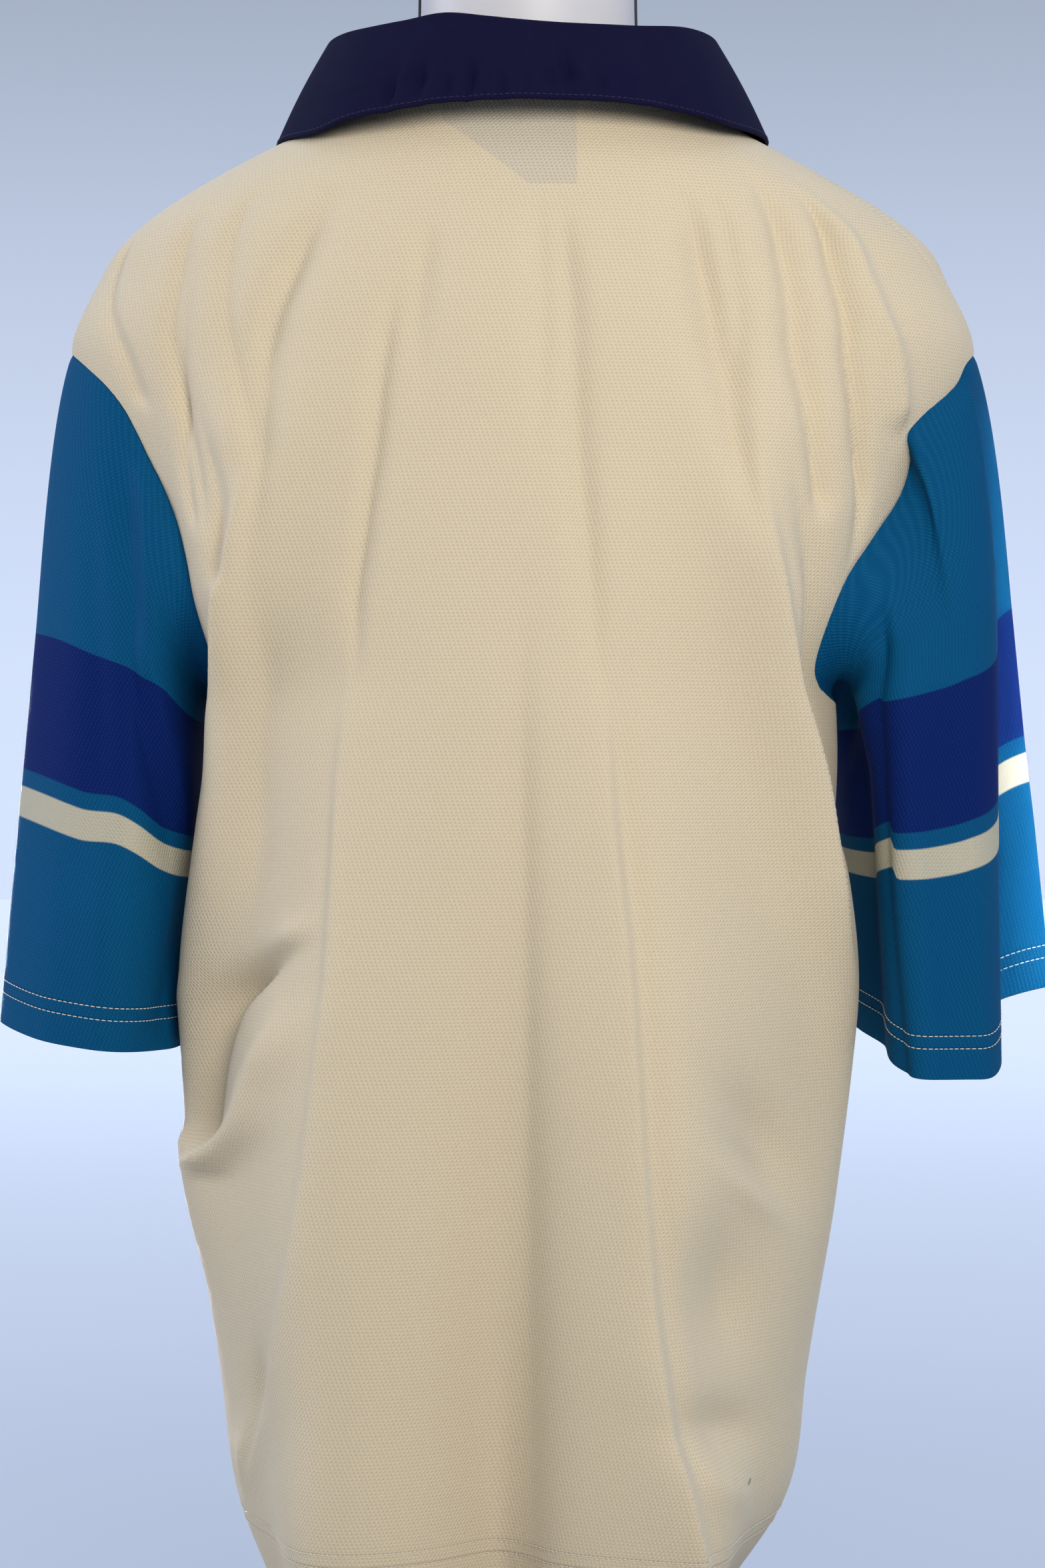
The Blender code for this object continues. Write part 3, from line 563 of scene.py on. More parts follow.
def body_point(angle, height):
    """Points of the body's outer face. Angle 0 is the centre back and 90 the wearer's right."""
    turn = np.radians(angle)
    sine = np.sin(turn)
    cosine = np.cos(turn)
    width = np.where(sine > 0, body_column("right", height), body_column("left", height))
    depth = np.where(cosine > 0, body_column("back", height), body_column("front", height))
    lift = body_lift(angle, height)
    out_x = sine * depth
    out_y = -cosine * width
    out = np.hypot(out_x, out_y)
    x = width * sine + lift * out_x / out
    y = body_column("side_y", height) - depth * cosine + lift * out_y / out
    x, y = off_the_form(x, y, height)
    return np.stack([x, y, height + 0.0 * x], axis=-1)


def off_the_form(x, y, height):
    """Places pushed out, where they must be, to lie at least FORM_GAP outside the form."""
    off_x = x - form_column("centre_x", height)
    off_y = y - form_column("centre_y", height)
    wide = form_column("half_width", height) + FORM_GAP
    side = np.where(off_y < 0.0, form_column("back", height), form_column("front", height))
    out = np.hypot(off_x / wide, off_y / (side + FORM_GAP))
    grow = np.maximum(1.0 / np.maximum(out, SAME_POINT), 1.0)
    grow = np.where(height < FORM_SECTIONS[-1][0], grow, 1.0)
    return x + off_x * (grow - 1.0), y + off_y * (grow - 1.0)


def body_normal(angle, height):
    """Unit normals of the body's outer face, from points a small step apart."""
    height = np.minimum(height, NECK_POINT_HEIGHT - NORMAL_RISE)
    along = body_point(angle + NORMAL_TURN, height) - body_point(angle - NORMAL_TURN, height)
    up = body_point(angle, height + NORMAL_RISE) - body_point(angle, height - NORMAL_RISE)
    return unit(np.cross(along, up))


def towards_middle(points, normals, along):
    """Unit vectors that lie in a surface, square to an edge and towards its loop's middle."""
    off = unit(np.cross(normals, along))
    inward = np.sum(off * (points.mean(axis=0) - points), axis=-1, keepdims=True)
    return np.where(inward > 0, off, -off)


def armhole_height(climb):
    half_height = (SHOULDER_POINT_HEIGHT - ARMPIT_HEIGHT) / 2
    return ARMPIT_HEIGHT + half_height * (1.0 - np.cos(np.pi * climb))


def arc_lengths(points, axis):
    """Distances along a grid's lines, from their first points."""
    steps = np.linalg.norm(np.diff(points, axis=axis), axis=-1)
    start = np.zeros_like(np.take(steps, [0], axis=axis))
    return np.concatenate([start, np.cumsum(steps, axis=axis)], axis=axis)


def grid_normals(points, closed=False):
    """Unit normals of a grid. The columns of a closed grid go round to the first again."""
    if closed:
        along = np.roll(points, -1, axis=1) - np.roll(points, 1, axis=1)
    else:
        along = np.gradient(points, axis=1)
    return unit(np.cross(along, np.gradient(points, axis=0)))


# ---------------------------------------------------------------- meshes

collection = bpy.data.collections.new("football_shirt")
bpy.context.scene.collection.children.link(collection)


def add_object(name, data):
    made = bpy.data.objects.new(name, data)
    collection.objects.link(made)
    return made


def add_piece(name, mesh, material, stands_for=None):
    piece = add_object(name, mesh)
    mesh.materials.append(material)
    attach(piece, "root")
    if stands_for:
        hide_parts(stands_for)
    return piece


def mesh_of(name, points, faces):
    mesh = bpy.data.meshes.new(name)
    mesh.from_pydata(points.reshape(-1, 3).tolist(), [], faces)
    return mesh


def grid_faces(numbers):
    """The four corners of each cell of a grid of point numbers."""
    corners = [numbers[:-1, :-1], numbers[:-1, 1:], numbers[1:, 1:], numbers[1:, :-1]]
    return np.stack(corners, axis=-1).reshape(-1, 4).tolist()


def weld(mesh):
    """Join points that lie on each other and turn every face outwards."""
    work = bmesh.new()
    work.from_mesh(mesh)
    bmesh.ops.remove_doubles(work, verts=work.verts, dist=SAME_POINT)
    bmesh.ops.recalc_face_normals(work, faces=work.faces)
    work.to_mesh(mesh)
    work.free()
    mesh.shade_smooth()


def cloth_mesh(name, points, places, thick=False):
    """A mesh of cloth through a grid of points, with their places on the flat cloth.

    A closed grid's last column lies on its first. A thick one's rows go out to its edge and
    back again on its inside, and it is closed along its first row and at both ends.
    """
    columns = points.shape[1]
    numbers = np.arange(len(points) * columns).reshape(-1, columns)
    faces = grid_faces(numbers)
    if thick:
        faces += grid_faces(numbers[[-1, 0]])
        half = len(points) // 2
        for side in (numbers[:, 0], numbers[:, -1]):
            faces += grid_faces(np.stack([side[:half], side[::-1][:half]]))
    mesh = mesh_of(name, points, faces)
    corners = np.empty(len(mesh.loops), dtype=np.int32)
    mesh.loops.foreach_get("vertex_index", corners)
    flat = places.reshape(-1, places.shape[-1])[corners]
    layer = mesh.uv_layers.new(name="cloth")
    layer.data.foreach_set("uv", flat[:, :2].astype(np.float32).ravel())
    if flat.shape[1] > 2:
        ways = mesh.attributes.new("way", "FLOAT", "CORNER")
        ways.data.foreach_set("value", flat[:, 2].astype(np.float32))
    weld(mesh)
    return mesh


def tube_faces(loops, columns):
    """The faces of a tube through loops of points, with its two ends."""
    numbers = np.arange(loops * columns).reshape(loops, columns)
    faces = grid_faces(np.concatenate([numbers, numbers[:, :1]], axis=1))
    return faces + [numbers[0, ::-1].tolist(), numbers[-1].tolist()]


def loft(name, loops):
    """A closed smooth mesh through level loops, with flat ends."""
    mesh = mesh_of(name, loops, tube_faces(*loops.shape[:2]))
    weld(mesh)
    return mesh


def circle(radius, height, count):
    turns = np.arange(count) / count * 2 * np.pi
    return [(radius * math.cos(t), radius * math.sin(t), height) for t in turns]


def turned(name, profile, columns):
    """A mesh turned about the Z axis from (radius, height) points."""
    return loft(name, np.array([circle(*point, columns) for point in profile]))


def stitch_row(points, normals, closed):
    """Centres, directions and normals of the stitches along a line of close points."""
    if closed:
        points = np.concatenate([points, points[:1]])
        normals = np.concatenate([normals, normals[:1]])
    length = arc_lengths(points[:, None], 0)[:, 0]
    count = int(length[-1] / STITCH_PITCH)
    at = (np.arange(count) + 0.5) / count * length[-1]

    def along(values, distance):
        found = [np.interp(distance, length, values[:, axis]) for axis in range(3)]
        return np.stack(found, axis=-1)

    half = STITCH_LENGTH / 2
    ahead = along(points, np.minimum(at + half, length[-1]))
    behind = along(points, np.maximum(at - half, 0.0))
    return np.stack([behind, ahead, along(normals, at)], axis=1)


def stitches(name, rows, material):
    """One mesh of all the stitches in some rows: short rounded threads half sunk in the cloth."""
    ends = np.concatenate([stitch_row(*row) for row in rows])
    behind, ahead, normal = ends[:, 0], ends[:, 1], unit(ends[:, 2])
    side = unit(np.cross(ahead - behind, normal))
    rings = []
    for way, width in zip(STITCH_WAYS, STITCH_WIDTHS):
        arch = 1.0 - STITCH_ARCH * (2.0 * way - 1.0) ** 2
        centre = behind + (ahead - behind) * way + normal * STITCH_RADIUS * arch
        for across, up, _ in circle(1.0, 0.0, STITCH_SIDES):
            rings.append(centre + (side * across + normal * up) * STITCH_RADIUS * width)
    points = np.stack(rings, axis=1)
    pattern = tube_faces(len(STITCH_WAYS), STITCH_SIDES)
    faces = [[corner + start for corner in face]
             for start in range(0, points.shape[0] * len(rings), len(rings)) for face in pattern]
    mesh = mesh_of(name, points, faces)
    mesh.shade_smooth()
    return add_piece(name, mesh, material)


# ---------------------------------------------------------------- materials

KNIT_ACROSS = 0.0024  # the knit's dimples stand in staggered rows, this far apart
KNIT_UP = 0.0038  # and each second row is this much higher
KNIT_SLANT = -0.30  # how far the dimples lean, as across by up
DIMPLE_WAVE = (0.2, 0.9)  # where the knit's wave makes a dimple, and where a thread
THREAD_WAVE = (-0.4, -0.9)
KNIT_RELIEF = 0.40  # the knit's depth, as a share of a hem line's
CLOTH_RELIEF = 0.0005
LINE_WIDTH = 0.0012  # half the width of the groove that a line of stitches pulls
HEM_EDGE = 0.001  # how softly the hem's doubled cloth begins above its line
BAND_EDGE = 0.003  # and a band of the sleeve, in ways
CLOUD_SCALE = 9.0  # of the faint clouds in the cloths' colours

CREAM = (0.745, 0.640, 0.462)
CREAM_DEEP = (0.62, 0.51, 0.345)
CREAM_DIMPLE = (0.50, 0.40, 0.26)
CREAM_CLOUDS = 0.22
CREAM_DIMPLES = 0.48
LABEL_TINT = (0.56, 0.53, 0.465)
LABEL_SHOWS = 0.55  # how much the label tints the cloth, and darkens its dimples
LABEL_DIMPLES = 0.35
LABEL_EDGE = 0.0006
LABEL_SIDE = (0.0, -0.03)  # it shows at the back only: not at the first y, and all at the second
TEAL = (0.001, 0.088, 0.222)
TEAL_DEEP = (0.0005, 0.055, 0.150)
# painted glint: the colour of the sleeves' raised threads, lighter than the teal, as where the
# light catches the yarn
TEAL_GLINT = (0.018, 0.180, 0.360)
TEAL_CLOUDS = 0.5
# how much the dimples show, and how much of the painted glint the threads get
TEAL_KNIT_AND_GLINT = 0.28  # how much the dimples and threads of the sleeves' knit show
BLUE = (0.002, 0.016, 0.125)
BLUE_DEEP = (0.001, 0.008, 0.080)
# painted glint on the raised threads of the blue band, lighter than the blue
BLUE_GLINT = (0.025, 0.055, 0.230)
STRIPE = (0.54, 0.51, 0.40)
STAIN = (0.20, 0.21, 0.13)
STAIN_SHOWS = 0.75
STAIN_PLACE = (0.1225, -0.0922, 0.1515)
STAIN_LENGTH = 0.0032
STAIN_WIDTH = 0.0014
STAIN_DEPTH = 0.007
STAIN_LEAN = 0.7  # the sine and cosine of the way it leans, near enough
STAIN_EDGES = (1.0, 0.3)  # where it ends and where it is whole, as squares of shares of its size
NAVY = (0.0055, 0.0050, 0.031)
NAVY_WORN = (0.010, 0.010, 0.040)
NAVY_CLOUDS = 0.5
NAVY_CLOUD_SCALE = 60.0
WEAVE_PITCH = 0.0008
WEAVE_RELIEF = 0.00008
SHEEN_ROUGHNESS = 0.5
PLAIN_SHADE = 0.9  # the colour of a plain material's clouds, as a share of its own
PLAIN_GRAIN = 0.00005  # the depth of its grain, and how much finer it is than the clouds
GRAIN_FINENESS = 40.0
PLAINS = {
    "pale thread": {"colour": (0.80, 0.76, 0.66), "roughness": 0.7, "sheen": 0.2, "specular": 0.2},
    "navy thread": {"colour": (0.02, 0.02, 0.06), "roughness": 0.6, "specular": 0.3},
    "label weave": {"colour": (0.30, 0.33, 0.38), "roughness": 0.7, "scale": 200.0,
                    "specular": 0.2},
    "form shell": {"colour": (0.69, 0.68, 0.72), "roughness": 0.45, "scale": 8.0},
    "trim cord": {"colour": (0.010, 0.010, 0.012), "roughness": 0.5, "scale": 200.0},
    "brushed steel": {"colour": (0.55, 0.55, 0.57), "roughness": 0.35, "scale": 20.0,
                      "metallic": 1.0},
}


def node(tree, kind, inputs=None, **settings):
    """Add a node. inputs maps its sockets to values or to other nodes' sockets."""
    made = tree.nodes.new("ShaderNode" + kind)
    for name, value in settings.items():
        setattr(made, name, value)
    for socket, value in (inputs or {}).items():
        if isinstance(value, bpy.types.NodeSocket):
            tree.links.new(value, made.inputs[socket])
        else:
            made.inputs[socket].default_value = value
    return made


def calc(tree, operation, *values):
    return node(tree, "Math", dict(enumerate(values)), operation=operation).outputs[0]


def soft_range(tree, value, low, high):
    """0 below low, 1 above high, and smooth between them. Low may be the larger one."""
    inputs = {"Value": value, "From Min": low, "From Max": high}
    return node(tree, "MapRange", inputs, interpolation_type="SMOOTHSTEP").outputs[0]


def between(tree, value, low, high, soft):
    """1 between low and high and 0 outside, with soft edges."""
    above = soft_range(tree, value, low - soft, low + soft)
    below = soft_range(tree, value, high + soft, high - soft)
    return calc(tree, "MULTIPLY", above, below)


def mix(tree, factor, *colours):
    """A colour between two others. The node has its colours in sockets 6 and 7, and out of 2."""
    inputs = {"Factor": factor}
    for socket, colour in enumerate(colours, 6):
        inputs[socket] = (*colour, 1.0) if isinstance(colour, tuple) else colour
    return node(tree, "Mix", inputs, data_type="RGBA").outputs[2]


def tint(tree, colour, other, *factors):
    """A colour mixed towards another by the product of some factors."""
    return mix(tree, calc(tree, "MULTIPLY", *factors), colour, other)


def noise(tree, place, scale, detail=3.0):
    return node(tree, "TexNoise", {"Vector": place, "Scale": scale, "Detail": detail}).outputs[0]


def start_material(name, roughness, sheen=0.0, specular=0.5, metallic=0.0):
    material = bpy.data.materials.new(name)
    material.use_nodes = True
    shader = material.node_tree.nodes["Principled BSDF"]
    values = {"Roughness": roughness, "Metallic": metallic, "Specular IOR Level": specular,
              "Sheen Weight": sheen, "Sheen Roughness": SHEEN_ROUGHNESS}
    for socket, value in values.items():
        shader.inputs[socket].default_value = value
    return material, material.node_tree, shader


def finish_material(tree, shader, colour, height, distance):
    """Give a material its colour, and a bump of this height."""
    tree.links.new(colour, shader.inputs["Base Color"])
    made = node(tree, "Bump", {"Height": height, "Distance": distance, "Strength": 1.0})
    tree.links.new(made.outputs[0], shader.inputs["Normal"])


def cloth_place(tree):
    """The two coordinates of the flat cloth, in metres."""
    place = node(tree, "UVMap", uv_map="cloth").outputs[0]
    split = node(tree, "SeparateXYZ", {0: place})
    return place, split.outputs[0], split.outputs[1]


def knit(tree, across, up):
    """The mesh knit: 1 in each oval dimple, and 1 on each raised thread between them."""
    across = calc(tree, "MULTIPLY_ADD", up, KNIT_SLANT, across)
    wave_across = calc(tree, "COSINE", calc(tree, "MULTIPLY", across, 2 * math.pi / KNIT_ACROSS))
    wave_up = calc(tree, "COSINE", calc(tree, "MULTIPLY", up, 2 * math.pi / KNIT_UP))
    wave = calc(tree, "MULTIPLY", wave_across, wave_up)
    return soft_range(tree, wave, *DIMPLE_WAVE), soft_range(tree, wave, *THREAD_WAVE)


def relief(tree, dimple, thread):
    return calc(tree, "MULTIPLY", calc(tree, "SUBTRACT", thread, dimple), KNIT_RELIEF)


def with_grooves(tree, height, place, lines):
    """A bump's height with a groove along each line of stitches."""
    for line in lines:
        off = calc(tree, "ABSOLUTE", calc(tree, "SUBTRACT", place, line))
        height = calc(tree, "SUBTRACT", height, soft_range(tree, off, LINE_WIDTH, 0.0))
    return height


def body_cloth():
    material, tree, shader = start_material("cream mesh", 0.80, sheen=0.20, specular=0.12)
    place, across, up = cloth_place(tree)
    objects = node(tree, "TexCoord").outputs["Object"]
    x, y, z = node(tree, "SeparateXYZ", {0: objects}).outputs
    dimple, thread = knit(tree, across, up)
    label = label_shadow(tree, x, y, z)
    dimple_shows = calc(tree, "MULTIPLY_ADD", label, LABEL_DIMPLES, CREAM_DIMPLES)
    colour = tint(tree, CREAM, CREAM_DEEP, noise(tree, objects, CLOUD_SCALE), CREAM_CLOUDS)
    colour = tint(tree, colour, LABEL_TINT, label, LABEL_SHOWS)
    colour = tint(tree, colour, CREAM_DIMPLE, dimple, dimple_shows)
    colour = tint(tree, colour, STAIN, stain(tree, x, y, z), STAIN_SHOWS)
    hem = soft_range(tree, z, HEM_LINES[0] + HEM_EDGE, HEM_LINES[0] - HEM_EDGE)
    height = calc(tree, "ADD", relief(tree, dimple, thread), hem)
    height = with_grooves(tree, height, z, HEM_LINES)
    finish_material(tree, shader, colour, height, CLOTH_RELIEF)
    return material


def stain(tree, x, y, z):
    """1 on a small slanted spot above the hem at the right."""
    right, back, up = [calc(tree, "SUBTRACT", *pair) for pair in zip((x, y, z), STAIN_PLACE)]
    along = calc(tree, "MULTIPLY", calc(tree, "ADD", right, up), STAIN_LEAN / STAIN_LENGTH)
    across = calc(tree, "MULTIPLY", calc(tree, "SUBTRACT", right, up), STAIN_LEAN / STAIN_WIDTH)
    deep = calc(tree, "MULTIPLY", back, 1.0 / STAIN_DEPTH)
    square = calc(tree, "MULTIPLY_ADD", along, along, calc(tree, "MULTIPLY", across, across))
    square = calc(tree, "MULTIPLY_ADD", deep, deep, square)
    return soft_range(tree, square, *STAIN_EDGES)


def label_shadow(tree, x, y, z):
    """1 where the label behind the back shows through."""
    behind = soft_range(tree, y, *LABEL_SIDE)
    sides = between(tree, x, LABEL_LEFT, LABEL_RIGHT, LABEL_EDGE)
    slope = (LABEL_CORNER_HEIGHT - LABEL_BOTTOM) / (LABEL_CORNER_X - LABEL_LEFT)
    left_of_corner = calc(tree, "MAXIMUM", calc(tree, "SUBTRACT", LABEL_CORNER_X, x), 0.0)
    bottom = calc(tree, "MULTIPLY_ADD", left_of_corner, slope, LABEL_BOTTOM)
    above = soft_range(tree, calc(tree, "SUBTRACT", z, bottom), -LABEL_EDGE, LABEL_EDGE)
    return calc(tree, "MULTIPLY", behind, calc(tree, "MULTIPLY", sides, above))


def sleeve_cloth():
    material, tree, shader = start_material("teal mesh", 0.75, specular=0.07)
    place, across, up = cloth_place(tree)
    objects = node(tree, "TexCoord").outputs["Object"]
    way = node(tree, "Attribute", attribute_name="way").outputs["Fac"]
    dimple, thread = knit(tree, across, up)
    teal = tint(tree, TEAL, TEAL_DEEP, noise(tree, objects, CLOUD_SCALE), TEAL_CLOUDS)
    blue_band = between(tree, way, *BLUE_BAND, BAND_EDGE)
    cream_band = between(tree, way, *CREAM_BAND, BAND_EDGE)

    def banded(ground, band, stripe):
        return mix(tree, cream_band, mix(tree, blue_band, ground, band), stripe)

    colour = banded(teal, BLUE, STRIPE)
    colour = tint(tree, colour, banded(TEAL_DEEP, BLUE_DEEP, CREAM_DIMPLE), dimple, TEAL_KNIT_AND_GLINT)
    # painted glint: the raised threads are lightened in colour, as if the light caught them
    colour = tint(tree, colour, banded(TEAL_GLINT, BLUE_GLINT, STRIPE), thread, TEAL_KNIT_AND_GLINT)
    height = with_grooves(tree, relief(tree, dimple, thread), up, CUFF_LINES)
    finish_material(tree, shader, colour, height, CLOTH_RELIEF)
    return material


def collar_cloth():
    material, tree, shader = start_material("navy weave", 0.75, specular=0.06)
    place, across, up = cloth_place(tree)
    threads = [calc(tree, "SINE", calc(tree, "MULTIPLY", value, 2 * math.pi / WEAVE_PITCH))
               for value in (across, up)]
    worn = noise(tree, place, NAVY_CLOUD_SCALE)
    colour = tint(tree, NAVY, NAVY_WORN, worn, NAVY_CLOUDS)
    finish_material(tree, shader, colour, calc(tree, "MULTIPLY", *threads), WEAVE_RELIEF)
    return material


def plain(name, colour, roughness, scale=30.0, **settings):
    """A material with a little cloudiness in its colour and grain in its surface."""
    material, tree, shader = start_material(name, roughness, **settings)
    objects = node(tree, "TexCoord").outputs["Object"]
    shade = tuple(value * PLAIN_SHADE for value in colour)
    mixed = mix(tree, noise(tree, objects, scale), colour, shade)
    grain = noise(tree, objects, scale * GRAIN_FINENESS, detail=2.0)
    finish_material(tree, shader, mixed, grain, PLAIN_GRAIN)
    return material


# ---------------------------------------------------------------- the shirt


def fine_steps(start, end, count, near):
    """Even steps, with more of them at these distances from both ends."""
    extra = [start + distance for distance in near] + [end - distance for distance in near]
    return np.sort(np.concatenate([np.linspace(start, end, count + 1), extra]))


def neckline(across, front):
    """Angle and height of a panel's neck edge: a shallow curve behind, a V in front."""
    if not front:
        height = BACK_NECK_HEIGHT + (NECK_POINT_HEIGHT - BACK_NECK_HEIGHT) * across**2
        return 90.0 * across, height
    out = np.abs(across)
    height = FRONT_NECK_HEIGHT + (NECK_POINT_HEIGHT - FRONT_NECK_HEIGHT) * out
    reach = NECK_HALF_WIDTH * out / body_column("right", height)
    return np.sign(across) * np.degrees(np.arcsin(np.clip(reach, 0.0, 1.0))), height


def panel_grid(side):
    """The angles and heights of a panel's grid, from the hem up to the neck."""
    front = side == "front"
    across = fine_steps(-1.0, 1.0, FRONT_COLUMNS if front else BACK_COLUMNS, SIDE_SHARES)
    lower = fine_steps(HEM_HEIGHT, ARMPIT_HEIGHT, BODY_ROWS, HEM_DISTANCES)[:-1]
    angles = [90.0 * across for _ in lower]
    heights = [height + 0.0 * across for height in lower]
    out = np.abs(across)
    for climb in np.linspace(0.0, 1.0, ARM_ROWS + 1):
        left = armhole_angle("front" if front else "back_left", climb)
        right = armhole_angle("front" if front else "back_right", climb)
        edge = np.where(across < 0, left, right)
        angles.append(np.sign(across) * (90.0 * out - (90.0 - edge) * out**COLUMN_SQUEEZE))
        even = ARMPIT_HEIGHT + (SHOULDER_POINT_HEIGHT - ARMPIT_HEIGHT) * climb
        heights.append(even + (armhole_height(climb) - even) * out**ROW_BEND)
    top_angle, top_height = neckline(across, front)
    for way in np.linspace(0.0, 1.0, SHOULDER_ROWS + 1)[1:]:
        edge_height = SHOULDER_POINT_HEIGHT + (NECK_POINT_HEIGHT - SHOULDER_POINT_HEIGHT) * way
        left = shoulder_angle("left", edge_height)
        right = shoulder_angle("right", edge_height)
        edge = np.where(across < 0, left, right)
        if front:
            edge = 180.0 - edge
        plain_angle = 90.0 * across * (1.0 - way**2) + top_angle * way**2
        angles.append(plain_angle * edge / 90.0)
        heights.append(SHOULDER_POINT_HEIGHT + (top_height - SHOULDER_POINT_HEIGHT) * way)
    return np.array(angles), np.array(heights)


def seam_dip(distance):
    return SEAM_DIP * np.exp(-((distance / SEAM_REACH) ** 2))


def panel_places(angles, heights, middle):
    """Where points of a panel lie on its flat cloth: metres from its centre line and up it."""
    turns = np.linspace(middle - FLAT_REACH, middle + FLAT_REACH, FLAT_COLUMNS)
    levels = np.linspace(HEM_HEIGHT, NECK_POINT_HEIGHT, FLAT_ROWS)
    points = body_point(turns, levels[:, None])
    centre = len(turns) // 2
    across = arc_lengths(points, 1)
    across -= across[:, centre:centre + 1]
    up = arc_lengths(points[:, centre:centre + 1], 0)[:, 0]
    row = (heights - levels[0]) / (levels[1] - levels[0])
    col = (angles - turns[0]) / (turns[1] - turns[0])
    row_below = np.clip(row.astype(int), 0, len(levels) - 2)
    col_before = np.clip(col.astype(int), 0, len(turns) - 2)
    down = row - row_below
    on = col - col_before
    low, high = [across[line, col_before] * (1.0 - on) + across[line, col_before + 1] * on
                 for line in (row_below, row_below + 1)]
    return np.stack([low * (1.0 - down) + high * down, np.interp(heights, levels, up)], axis=-1)


def turn_under(points, normals, places, rows):
    """A grid with some of its end rows repeated in reverse order, just inside the cloth."""
    inside = (points - HEM_FOLD * normals)[rows][::-1]
    folded = places[rows][::-1] * np.array([1.0, -1.0, 1.0])[:places.shape[-1]]
    return inside, folded


def make_panel(side, material):
    angles, heights = panel_grid(side)
    middle_angle = 180.0 if side == "front" else 0.0
    if side == "front":
        angles = middle_angle - angles
    points = body_point(angles, heights)
    normals = body_normal(angles, heights)
    from_left = arc_lengths(points, 1)
    from_right = from_left[:, -1:] - from_left
    outer = points - (seam_dip(from_left) + seam_dip(from_right))[..., None] * normals
    along = unit(np.gradient(points, axis=1))
    outer[:, 0] += along[:, 0] * GAP / 2
    outer[:, -1] -= along[:, -1] * GAP / 2
    cloth = panel_places(angles, heights, middle_angle)
    hem = heights[:, 0] <= HEM_HEIGHT + HEM_DEPTH
    inside, folded = turn_under(outer, normals, cloth, hem)
    name = "cloth_" + side
    mesh = cloth_mesh(name, np.concatenate([inside, outer]), np.concatenate([folded, cloth]))
    return add_piece(name, mesh, material, side + "_panel")


def armhole_loop(side, share):
    """Angles and heights round an armhole: up its back edge and down its front edge."""
    climb = 1.0 - np.abs(1.0 - 2.0 * share)
    front = 180.0 - armhole_angle("front", climb)
    angles = np.where(share < 0.5, armhole_angle("back_" + side, climb), front)
    return angles * (1.0 if side == "right" else -1.0), armhole_height(climb)


def ring_spline(around, values, at):
    """The spline of a closed ring, whose table of shares round it starts again after 1."""
    around = np.asarray(around, float)
    values = np.asarray(values, float)
    knots = np.concatenate([around[-2:] - 1.0, around, around[:2] + 1.0])
    return spline(knots, np.concatenate([values[-2:], values, values[:2]]), at)


def sleeve_ring(side, name, share):
    """The ring through the sleeve lines' places of one name, top or cuff."""
    lines = SLEEVE_LINES[side]
    around = column(SLEEVE_NAMES, lines, "around")
    places = [column(SLEEVE_NAMES, lines, name + "_" + axis) for axis in "xyz"]
    return np.stack([ring_spline(around, values, share) for values in places], axis=-1)


def sleeve_lift(side, share, way):
    """How far the sleeve's creases lift its cloth."""
    lift = 0.0 * share * way
    for start, end, path, under, out, depth, head, tail in SLEEVE_CREASES[side]:
        t = np.clip((way - start) / (end - start), 0.0, 1.0)
        across = across_crease((share - along_path(path, t) + 0.5) % 1.0 - 0.5, under, out)
        lift = lift + depth / MM * along_crease(t, head, tail) * across
    return lift


def sleeve_surface(side, way):
    """Outer points and normals of a sleeve, at ways down it for each share of the way round."""
    share = np.arange(way.shape[1]) / way.shape[1]
    loop = armhole_loop(side, share)
    edge = body_point(*loop)
    edge_normals = body_normal(*loop)
    along = np.roll(edge, -1, axis=0) - np.roll(edge, 1, axis=0)
    start = edge + towards_middle(edge, edge_normals, along) * GAP
    top = sleeve_ring(side, "top", share)
    cuff = sleeve_ring(side, "cuff", share)
    hang = (cuff - top) * SLEEVE_HANG
    leave = (top - start) * SEAM_LEAVE + SEAM_PUFF * edge_normals
    shares = cubic_shares(np.clip(way + 1.0, 0.0, 1.0)[..., None])
    curve = start * shares[0] + leave * shares[2] + top * shares[1] + hang * shares[3]
    below = np.maximum(way, 0.0)[..., None]
    points = np.where(way[..., None] < 0.0, curve, top + (cuff - top) * below)
    hand = 1.0 if side == "right" else -1.0
    normals = -hand * grid_normals(points, closed=True)
    points = points + sleeve_lift(side, share, way)[..., None] * normals
    dip = seam_dip(np.linalg.norm(points - start, axis=-1))[..., None]
    points = points - dip * edge_normals
    normals = -hand * grid_normals(points, closed=True)
    turn = np.clip(np.linalg.norm(points - points[:1], axis=-1) / SEAM_TURN, 0.0, 1.0)[..., None]
    turn = np.where(way[..., None] < -0.5, turn, 1.0)
    return points, unit(edge_normals * (1.0 - turn) + normals * turn)


def make_sleeve(side, material):
    cap = -1.0 + np.concatenate([CAP_SHARES, np.arange(1, CAP_ROWS) / CAP_ROWS])
    free = np.concatenate([np.linspace(0.0, 1.0, CUFF_ROWS + 1)[:-1], CUFF_SHARES])
    rows = np.concatenate([cap, free])
    ways = np.repeat(rows[:, None], SLEEVE_STEPS, axis=1)
    points, normals = sleeve_surface(side, ways)
    around = [*range(SLEEVE_STEPS), 0]
    points, normals, ways = points[:, around], normals[:, around], ways[:, around]
    down = arc_lengths(points, 0)
    share = np.linspace(0.0, 1.0, SLEEVE_STEPS + 1)
    bands = ways - spline(*zip(*BAND_SHIFTS[side]), share)
    cloth = np.stack([arc_lengths(points, 1), down[-1:] - down, bands], axis=-1)
    inside, folded = turn_under(points, normals, cloth, rows >= 1.0 - CUFF_SHARE)
    name = "cloth_sleeve_" + side
    mesh = cloth_mesh(name, np.concatenate([points, inside]), np.concatenate([cloth, folded]))
    return add_piece(name, mesh, material, "sleeve_" + side)


